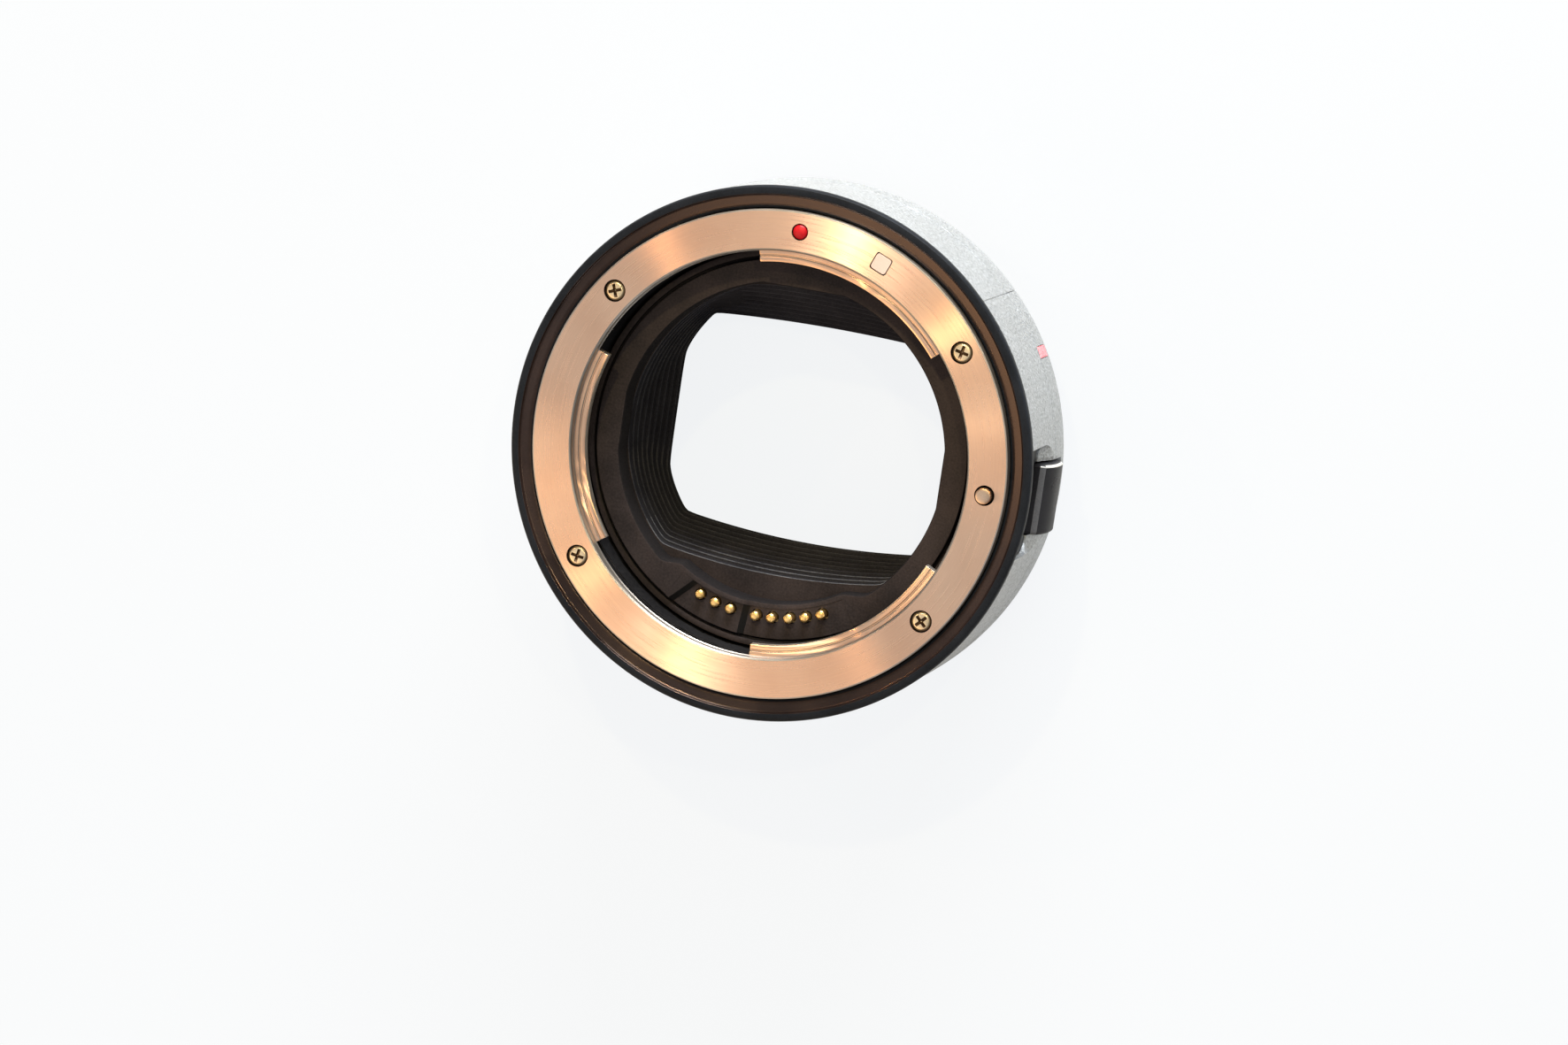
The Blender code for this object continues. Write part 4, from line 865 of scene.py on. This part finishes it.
def pad_outline(grow):
    """Window at the front edge of the shell, as (y, z) points."""
    half = PAD_HALF + grow
    low = below(SLEEVE_DEPTH + grow)
    high = below(BAND_DEPTH - PAD_OVERLAP)
    corners = [(LEVER_Y - half, high), (LEVER_Y - half, low), (LEVER_Y + half, low),
               (LEVER_Y + half, high)]
    return rounded(corners, PAD_CORNER, 10, sharp=(0, 3))


def slot_outline():
    """Slot of the lever, as (y, z) points."""
    front, back = [below(depth) for depth in SLOT_DEPTHS]
    corners = rectangle(LEVER_Y - SLOT_HALF, LEVER_Y + SLOT_HALF, back, front)
    return rounded(corners, SLOT_CORNER, 6)


def front_band():
    """Black ring round the flange: textured rim, glossy inner slope, sleeve and notch pad."""
    seam = below(BAND_DEPTH)
    foot = below(SLEEVE_DEPTH)
    profile = [(BODY_R, below(RIM_DROP)), (BODY_R, seam), (SLEEVE_R, seam), (SLEEVE_R, foot),
               (SLEEVE_BORE_R, foot)]
    profile += [(radius, below(depth)) for radius, depth in RIM_SLOPE]
    profile = rounded(profile, 0.08, 3, sharp=(2, 3, 4, 5, 6), special={0: 0.75, 8: 0.5, 9: 0.2})
    band = turned("front_band", profile)
    paint(band, 1, lambda r, z, slope: GLOSS_R[0] < r < GLOSS_R[1] and z > below(GLOSS_DEPTH))
    pad = prism("pad", pad_outline(0.0), SLEEVE_BORE_R - PAD_ROOT, PAD_X, "X")
    bore = rod("bore", 0.0, 0.0, SLEEVE_BORE_R + PAD_LIFT, foot - OVERSHOOT, LENS_Z, ROUND_STEPS)
    combine(pad, [bore])
    combine(band, [pad], "UNION")
    slot = prism("slot", slot_outline(), SLEEVE_BORE_R - SLOT_ROOT, BODY_R + OVERSHOOT, "X")
    combine(band, [slot])
    soften(band, 0.12, angle=55.0)
    dress(band, [RIM_BLACK, RIM_GLOSS], ["front_ring"])


def thumb_scoop(far):
    """Cutter for the hollow round the lever, which rises to the crease."""
    flare = FLAT_HALF + FLAT_FLARE
    rise = CREASE_DEPTH - FLAT_RISE_DEPTH
    sections = [(0.0, 0.0)]
    for step in range(NOTCH_STEPS + 1):
        sections.append((FLAT_RISE_DEPTH + rise * step / NOTCH_STEPS, blend(step / NOTCH_STEPS)))
    rows = []
    for depth, share in sections:
        flat = FLAT_X[0] + (FLAT_X[1] - FLAT_X[0]) * share
        side = [(flat, FLAT_HALF), (flat + NOTCH_WALL, flare),
                (far + NOTCH_SPARE, flare + NOTCH_SPREAD)]
        notch = [(x, LEVER_Y - y) for x, y in side] + [(x, LEVER_Y + y) for x, y in reversed(side)]
        notch = rounded(notch, 0.3, 10, sharp=(2, 3), special={0: NOTCH_FILLET, 5: NOTCH_FILLET})
        rows.append([(x, y, below(depth)) for x, y in notch])
    return loft("scoop", rows)


def barrel():
    """Silver shell with a scooped notch, the slot of the lever and a fine seam."""
    front_r = BODY_R - CREASE_STEP
    front_z = below(BAND_DEPTH + FIT)
    bore = edges("body_frame")[1][1] + FIT
    lip_z = CAMERA_Z + REAR_LIP
    inset, run = TAPER_MIDDLE
    profile = [
        (front_r, front_z), (front_r, below(CREASE_DEPTH - CREASE_WIDTH)),
        (BODY_R, below(CREASE_DEPTH)), (BODY_R, below(TAPER_DEPTH)),
        (BODY_R - inset, below(TAPER_DEPTH + run)), (BODY_R - TAPER_END, SHELL_END_Z),
        (REAR_BORE_R, SHELL_END_Z), (REAR_BORE_R, lip_z), (bore, lip_z), (bore, front_z)]
    profile = rounded(profile, 0.12, 3, special={3: 5.0, 4: 4.0, 5: 0.3})
    shell = turned("barrel_shell", profile)
    far = BODY_R + OVERSHOOT
    scoop = thumb_scoop(far)
    window = prism("window", pad_outline(FIT), SHELL_INSIDE, far, "X")
    slot = prism("slot", slot_outline(), SHELL_INSIDE, far, "X")
    mark_bed = mark_block("pocket", BODY_R - MARK_POCKET, far, MARK_PLAY)
    seam = prism("seam", rectangle(-SEAM_HALF, SEAM_HALF, -SEAM_DEPTH, SEAM_RISE),
                 SHELL_END_Z - OVERSHOOT, LENS_Z, turn=SEAM_ANGLE, at=on_circle(BODY_R, SEAM_ANGLE))
    combine(shell, [scoop, window, slot, mark_bed, seam])
    soften(shell, 0.1, angle=38.0)
    dress(shell, [SHELL_SILVER], ["outer_shell"])


def opening_radius(angle):
    """Edge of the round opening of the inner ring, with two side flats and the contacts' bulge."""
    x, y = on_circle(1.0, angle)
    reach = min(OPENING_R, OPENING_SIDE / max(abs(x), LEAST_PART))
    if y > 0:
        reach = min(reach, OPENING_TOP / max(y, LEAST_PART))
    start, end = BULGE_ANGLES
    rise = blend((angle - start) / SHOULDERS[0] + 0.5)
    fall = blend((end - angle) / SHOULDERS[1] + 0.5)
    return reach + (LIP_R - reach) * rise * fall


def inner_cover():
    """Matte ring in the throat; it bulges inward and dips where it frames the contacts."""
    angles = [FULL_TURN * i / COVER_POINTS for i in range(COVER_POINTS)]

    def loop(radii, heights):
        return [(*on_circle(r, a), z) for r, a, z in zip(radii, angles, heights)]

    def dip(angle):
        (start, start_run), (end, end_run) = RING_DIP
        share = blend((angle - start) / start_run) * blend((end - angle) / end_run)
        return RING_DEPTH + (BLOCK_LOW_DEPTH - DIP_REST - RING_DEPTH) * share

    def level(height):
        return [height] * len(angles)

    opening = [opening_radius(a) for a in angles]
    wall = [r + WALL for r in opening]
    face = [below(dip(a)) for a in angles]
    rows = []
    for inset, drop in COVER_INNER_EDGE:
        rows.append(loop([r + inset for r in opening], [z - drop for z in face]))
    for inset, drop in COVER_OUTER_EDGE:
        rows.append(loop(level(RING_FACE_R - inset), [z - drop for z in face]))
    seat, ceiling, shoulder = [below(depth) for depth in COVER_DEPTHS]
    step = below(STEP_DEPTH)
    groove = below(STEP_DEPTH + GROOVE_DROP)
    for radius, height in ((RING_FACE_R, groove), (STEP_R[0], groove), (STEP_R[0], step),
                           (STEP_R[1], step), (STEP_R[1], seat), (COVER_SEAT_R, seat),
                           (COVER_SEAT_R, ceiling)):
        rows.append(loop(level(radius), level(height)))
    rows.append(loop(wall, level(shoulder)))
    rows.append(loop(wall, level(RING_FOOT_Z)))
    rows.append(loop(opening, level(RING_FOOT_Z)))
    cover = grid("inner_cover", rows)
    soften(cover, 0.07, angle=50.0)
    # Walls and the faces from the groove down are painted darker as shade
    paint(cover, 1, lambda r, z, slope: abs(slope) < WALL_SLOPE or z < groove + GROOVE_RIM)
    window = rectangle(LIP_OUTER_R, STEP_R[0] - WINDOW_INSET, RING_FOOT_Z - OVERSHOOT, LENS_Z)
    combine(cover, [sector("window", window, *BLOCK_ANGLES, 60)])
    dress(cover, [PLASTIC, WALL_SHADE], ["inner_ring"])


def contact_carrier():
    """Block round the pins with three levels, parted by two ramps that are painted dark as shade."""
    start, end = BLOCK_ANGLES
    outline = rectangle(LIP_OUTER_R - BLOCK_SPARE, BLOCK_R + BLOCK_SPARE, BLOCK_BOTTOM_Z,
                        below(RING_DEPTH))
    block = sector("contact_carrier", outline, start - BLOCK_SPARE, end + BLOCK_SPARE, 90)
    far, side = RAMP_REACH
    ramps = []
    for high, low, turn, at, run in RAMPS:
        ramp = [(0.0, LENS_Z), (0.0, below(high - RAMP_TOP)), (run, below(low)), (far, below(low)),
                (far, LENS_Z)]
        ramps.append(prism("step", ramp, -side, side, "Y", turn=turn, at=at))
    combine(block, ramps)
    # The ramps are painted dark as shade
    paint(block, 1, lambda r, z, slope: RAMP_SLOPES[0] < slope < RAMP_SLOPES[1])
    foot = BLOCK_BOTTOM_Z - OVERSHOOT
    guides = [pocket(f"contact_pin_{number}", GUIDE_R, foot, LENS_Z) for number in PINS]
    # The guide holes' walls take slot 1, the painted shade too
    combine(block, guides, slot=1)
    soften(block, 0.06, angle=20.0)
    gap, turn = BLOCK_PLAY
    outline = rectangle(LIP_OUTER_R + gap, BLOCK_R, foot, LENS_Z)
    combine(block, [sector("room", outline, start + turn, end - turn, 90)], "INTERSECT")
    dress(block, [PLASTIC, RAMP_SHADE], ["contact_block"])
    for number in PINS:
        contact_pin(number)


def contact_pin(number):
    """Gold pin with a round tip; it slides in its guide on its own spring."""
    node = f"contact_pin_{number}"
    low, high = edges(node)
    x, y, _ = middle(node)
    shoulder = below(PIN_SHOULDER_DEPTH)
    neck = shoulder - PIN_SHOULDER_THICK
    profile = dome(PIN_R, high[2], PIN_DOME, 8)
    profile += [(PIN_R, shoulder), (PIN_SHOULDER_R, shoulder), (PIN_SHOULDER_R, neck),
                (PIN_STEM_R, neck), (PIN_STEM_R, low[2]), (0.0, low[2])]
    pin = turned(f"gold_contact_{number}", profile, (x, y), PIN_STEPS)
    dress(pin, [GOLD], [node], f"contact_{number}")


def baffle_radius(section, angle):
    """Distance from the axis to the outline of one section of the light path."""
    x, y = on_circle(1.0, angle)
    side = "top" if y > 0 else "bottom"
    bow = section[f"{side}_bow"]
    centre = bow - section[side]
    lift = centre * abs(y)
    reach = [section["round"], section["side"] / max(abs(x), LEAST_PART),
             math.sqrt(bow ** 2 - centre ** 2 + lift ** 2) - lift]
    least = min(reach)
    soft = sum(math.exp(-(value - least) / BAFFLE_SOFT) for value in reach)
    return least - BAFFLE_SOFT * math.log(soft) * BAFFLE_SOFT_SHARE


def baffle():
    """Stepped black funnel from the round opening to the frame-shaped one."""
    angles = [FULL_TURN * i / BAFFLE_POINTS for i in range(BAFFLE_POINTS)]
    top = below(BAFFLE_TOP_DEPTH)
    pitch = (top - BAFFLE_END_Z) / BAFFLE_STEPS

    def loop(radii, height):
        return [(*on_circle(r, a), height) for r, a in zip(radii, angles)]

    rows = []
    marks = {}
    for step in range(BAFFLE_STEPS):
        t = step / (BAFFLE_STEPS - 1)
        section = {key: value + (BAFFLE_REAR[key] - value) * t
                   for key, value in BAFFLE_FRONT.items()}
        radii = [baffle_radius(section, a) for a in angles]
        high = top - pitch * step
        # The ledge of each step takes slot 1, the painted highlight
        marks[len(rows)] = 1
        rows.append(loop([r + BAFFLE_LIP for r in radii], high))
        rows.append(loop(radii, high - BAFFLE_LIP))
        rows.append(loop([r + BAFFLE_LEAN for r in radii], high - pitch + BAFFLE_LAP))
    last = [baffle_radius(BAFFLE_REAR, a) for a in angles]
    edge = -edges("rear_contact_block")[1][1] - FIT
    plate = [min(REAR_BLOCK_R, edge / max(-on_circle(1.0, a)[1], edge / BODY_R)) for a in angles]
    flange = [min(COVER_SEAT_R, opening_radius(a) + BAFFLE_SEAT) for a in angles]
    outer = [min(baffle_radius(BAFFLE_FRONT, a) + WALL, f - BAFFLE_LIP_GAP)
             for a, f in zip(angles, flange)]
    under = top - WALL
    plate_top = BAFFLE_END_Z + WALL
    for radii, height in (
            ([r + BAFFLE_LEAN for r in last], BAFFLE_END_Z), (plate, BAFFLE_END_Z),
            (plate, plate_top), ([r + WALL + BAFFLE_FOOT for r in last], plate_top),
            (outer, under), (flange, under)):
        rows.append(loop(radii, height))
    marks[len(rows)] = 2
    rows.append(loop(flange, top))
    funnel = grid("light_funnel", rows, marks=marks)
    # Ledges low down in the first steps get the brighter painted highlight
    for face in funnel.data.polygons:
        _, y, z = face.center / MM
        if face.material_index == 1 and y < LOW_HIGHLIGHT_Y and z > top - LOW_HIGHLIGHT_STEPS * pitch:
            face.material_index = 3
    finishes = [BAFFLE_BLACK, BAFFLE_LEDGE_HIGHLIGHT, PLASTIC, BAFFLE_LOW_HIGHLIGHT]
    dress(funnel, finishes, ["light_baffle"])


def lever_fall(offset):
    """Drop of the lever's back in front of its peak, where the offset is below 0, or behind."""
    height, length, power = LEVER_FRONT_FALL if offset < 0 else LEVER_BACK_FALL
    return height * (abs(offset) / length) ** power


def lever():
    """Release lever with a crowned back, a painted highlight on its rounded end and an apron under the
    slot.
    """
    low, high = edges("release_lever")
    inner = low[0]
    front = below(LEVER_FRONT_DEPTH)
    first = LEVER_FRONT_DEPTH + LEVER_MARGIN
    last = LEVER_BACK_DEPTH - LEVER_MARGIN
    peak = LEVER_FRONT_DEPTH + LEVER_PEAK
    outline = [(inner, front), (BODY_R - LEVER_FRONT_DROP, front)]
    for step in range(LEVER_POINTS + 1):
        depth = first + (last - first) * step / LEVER_POINTS
        outline.append((BODY_R + LEVER_RISE - lever_fall(depth - peak), below(depth)))
    wall = inner + WALL
    outline += [(wall, below(LEVER_BACK_DEPTH)), (wall, low[2]), (inner, low[2])]
    body = prism("release_thumb_lever", outline, low[1], high[1], "Y")
    soften(body, 0.5, 5, 60.0)
    side_slope, back_slope = FACET_SLOPES
    for face in body.data.polygons:
        x, y, z = face.normal
        # Rounded edges that face +Y and outward get the painted highlight
        if y > EDGE_SLOPE and x > EDGE_SLOPE:
            face.material_index = 1
        # The front facet and the faces falling away at the back get the painted highlight
        elif x > side_slope and (z < back_slope or face.center.z > below(first) * MM):
            face.material_index = 2
    finishes = [LEVER_SATIN, LEVER_END_HIGHLIGHT, LEVER_FACET_HIGHLIGHT]
    dress(body, finishes, ["release_lever"], "lens_release")


def camera_flange():
    """Turned ring with the three lugs that turn into the camera's bayonet."""
    low, high = edges("rear_mount_ring")
    profile = [
        (high[0], high[2]), (high[0], CAMERA_Z), (CAMERA_TUBE_R, CAMERA_Z), (CAMERA_TUBE_R, low[2]),
        (CAMERA_BORE_R, low[2]), (CAMERA_BORE_R, high[2])]
    profile = rounded(profile, 0.12, 3, special={1: 0.3, 2: 0.1})
    ring = turned("camera_flange", profile)
    lug = rounded(rectangle(*LUG_R, *LUG_Z), 0.2, 3, sharp=(0, 3))
    lugs = [soften(sector("lug", lug, start, end, 60), 0.2, 3, 60.0) for start, end in LUG_ANGLES]
    combine(ring, lugs, "UNION")
    start = CAMERA_Z - OVERSHOOT
    cutters = [pocket(f"rear_screw_{number}", HEAD_R + FIT, start, CAMERA_Z + REAR_POCKET)
               for number in SCREWS]
    radius, angle, hole_r = REAR_PIN_HOLE
    cutters.append(rod("pocket", *on_circle(radius, angle), hole_r, start, high[2] + OVERSHOOT))
    combine(ring, cutters)
    soften(ring, 0.1, angle=55.0)
    # All but the flat rear face get the painted edge highlight
    paint(ring, 1, lambda r, z, slope: slope > -FLAT_SLOPE)
    dress(ring, [REAR_FACE, EDGE_HIGHLIGHT], ["rear_mount_ring"])


def camera_contacts():
    """Block in the bayonet tube with the row of gold pads."""
    low, high = edges("rear_contact_block")
    half = math.degrees(math.acos(-high[1] / REAR_BLOCK_R))
    outline = arc(REAR_BLOCK_R, HALF_TURN - half, HALF_TURN + half, 60)
    block = prism("camera_contact_block", outline, low[2], high[2])
    soften(block, 0.2, 3, 50.0)
    dress(block, [PLASTIC], ["rear_contact_block"])
    half_x, half_y = REAR_PAD_HALF
    outline = rounded(rectangle(-half_x, half_x, -half_y, half_y), REAR_PAD_CORNER, 5)
    for number in PADS:
        node = f"rear_contact_{number}"
        low, high = edges(node)
        x, y, _ = middle(node)
        pad = prism(f"camera_pad_{number}", outline, low[2], high[2], turn=angle_of(x, y),
                    at=(x, y))
        soften(pad, 0.06, angle=60.0)
        dress(pad, [GOLD], [node])


def coil_spring(node, wire_r, coils):
    """Coil that fills its node's place, with a mesh of its own."""
    low, high = edges(node)
    x, y, _ = middle(node)
    radius = (high[0] - low[0]) / 2 - wire_r
    foot = low[2] + wire_r
    rise = high[2] - wire_r - foot
    steps = round(coils * COIL_STEPS)
    rows = []
    for step in range(steps + 1):
        turn = math.radians(FULL_TURN * step / COIL_STEPS)
        height = foot + rise * step / steps
        row = []
        for side in range(WIRE_STEPS):
            tilt = math.radians(FULL_TURN * side / WIRE_STEPS)
            reach = radius + wire_r * math.cos(tilt)
            row.append((x + reach * math.cos(turn), y + reach * math.sin(turn),
                        height + wire_r * math.sin(tilt)))
        rows.append(row)
    coil = loft(f"{node}_coil", rows)
    dress(coil, [SPRING_STEEL], [node])
    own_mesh(coil)


def coil_springs():
    """Springs under the pins and under the tab of the release."""
    for number in PINS:
        coil_spring(f"contact_spring_{number}", PIN_WIRE_R, PIN_COILS)
    for number in (1, 2):
        coil_spring(f"release_spring_{number}", RELEASE_WIRE_R, RELEASE_COILS)


def plain_finishes():
    """Finishes of the frame's own nodes that stay in the scene."""
    finishes = {
        "body_frame": CAST_ALLOY, "bayonet_spring": SPRING_STEEL, "contact_board": BOARD_GREEN,
        "flex_cable": FLEX_AMBER, "release_slider": SHEET_STEEL, "lever_screw_1": SCREW_METAL,
        "lever_screw_2": SCREW_METAL}
    for name, finish in finishes.items():
        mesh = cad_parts[name].data
        mesh.materials.clear()
        mesh.materials.append(finish)


def camera():
    """Long lens that looks down at the adapter, as in the photograph."""
    data = bpy.data.cameras.new("camera")
    data.sensor_width = 36.0
    data.sensor_fit = "HORIZONTAL"
    data.lens = FOCAL_LENGTH
    data.clip_start = 0.01
    data.clip_end = 20.0
    obj = bpy.data.objects.new("camera", data)
    turn = Vector(CAMERA_TURN)
    pose = Matrix.Rotation(turn.length, 4, turn.normalized()).inverted()
    obj.matrix_world = Matrix.Translation(Vector(CAMERA_PLACE) * MM) @ pose
    bpy.context.scene.collection.objects.link(obj)
    bpy.context.scene.camera = obj
    return pose.to_3x3() @ Vector((0.0, 0.0, 1.0))


def lamp(name, direction, distance, size, power, colour, length=None):
    data = bpy.data.lights.new(name, "AREA")
    data.shape = "RECTANGLE" if length else "DISK"
    data.size = size
    data.size_y = length or size
    data.energy = power
    data.color = colour
    obj = bpy.data.objects.new(name, data)
    direction = Vector(direction).normalized()
    obj.location = direction * distance + Vector((0.0, 0.0, LENS_Z * MM))
    obj.rotation_euler = direction.to_track_quat("Z", "Y").to_euler()
    bpy.context.scene.collection.objects.link(obj)


def mirrored(view, angle, tilt):
    """Direction from which a lamp shows on the flange as a streak at this angle."""
    x, y = on_circle(tilt, angle)
    half = Vector((x, y, 1.0)).normalized()
    return 2 * half.dot(view) * half - view


def empty_tree(owner):
    """Node tree of a world or a material, without its first nodes."""
    owner.use_nodes = True
    owner.node_tree.nodes.clear()
    return owner.node_tree


def sky():
    """White seen from the camera, and a soft blue light on the part."""
    world = bpy.data.worlds.new("studio")
    bpy.context.scene.world = world
    tree = empty_tree(world)
    path = add(tree, "LightPath").outputs
    seen = add(tree, "Background", {"Color": srgb(246, 249, 251), "Strength": 1.0}).outputs[0]
    light = add(tree, "Background", {"Color": (0.86, 0.92, 1.0, 1.0), "Strength": 0.3}).outputs[0]
    both = add(tree, "MixShader", {0: path["Is Camera Ray"], 1: light, 2: seen}).outputs[0]
    add(tree, "OutputWorld", {"Surface": both})


def pale_floor():
    """Floor that looks nearly white from above, still takes shadows and hardly mirrors."""
    bm = bmesh.new()
    bmesh.ops.create_grid(bm, x_segments=2, y_segments=2, size=FLOOR_SIZE)
    floor = mesh_object("floor", bm)
    floor.location.z = -FLOOR_DROP * MM
    material = bpy.data.materials.new("pale_floor")
    tree = empty_tree(material)
    path = add(tree, "LightPath").outputs
    direct = calc(tree, "MULTIPLY", path["Is Camera Ray"], FLOOR_GLOW)
    mirror = calc(tree, "MULTIPLY", path["Is Glossy Ray"], FLOOR_MIRROR)
    share = calc(tree, "MAXIMUM", direct, mirror)
    matte = add(tree, "BsdfDiffuse", {"Color": (0.64, 0.66, 0.68, 1.0)}).outputs[0]
    glow = add(tree, "Emission", {"Color": srgb(251, 253, 255), "Strength": 1.0}).outputs[0]
    both = add(tree, "MixShader", {0: share, 1: matte, 2: glow}).outputs[0]
    add(tree, "OutputMaterial", {"Surface": both})
    floor.data.materials.clear()
    floor.data.materials.append(material)


def lamps(view):
    """Softbox, three warm panels, two cool lamps and the small lamps of the flange's streaks."""
    lamp("softbox", mirrored(view, 0.0, 0.0), 1.2, 0.9, 1.6, SOFTBOX, 0.9)
    for number, (angle, power) in enumerate(PANELS, 1):
        lamp(f"warm_panel_{number}", mirrored(view, angle, PANEL_TILT), 0.9, 0.4, power, WARM)
    lamp("key", (0.08, 0.97, 0.22), 0.8, 0.5, 16.5, COOL, 0.3)
    lamp("low_side", (0.6, -0.76, 0.25), 0.8, 0.2, 0.6, COOL, 0.2)
    for number, (angle, power, colour) in enumerate(STREAKS, 1):
        lamp(f"streak_{number}", mirrored(view, angle, STREAK_TILT), 0.6, 0.02, power, colour)


lens_flange()
claws()
for index, turn in enumerate(RECESS_TURNS, 1):
    fastener(f"flange_screw_{index}", f"mount_screw_{index}", below(LENS_SCREW_SINK), 1, turn)
    fastener(f"camera_screw_{index}", f"rear_screw_{index}", CAMERA_Z + CAMERA_SCREW_SINK, -1,
             turn + REAR_RECESS_TURN)
marks()
lock_pin()
front_band()
barrel()
inner_cover()
contact_carrier()
baffle()
lever()
camera_flange()
camera_contacts()
coil_springs()
plain_finishes()
sky()
pale_floor()
lamps(camera())
bpy.context.scene.view_settings.view_transform = "Standard"
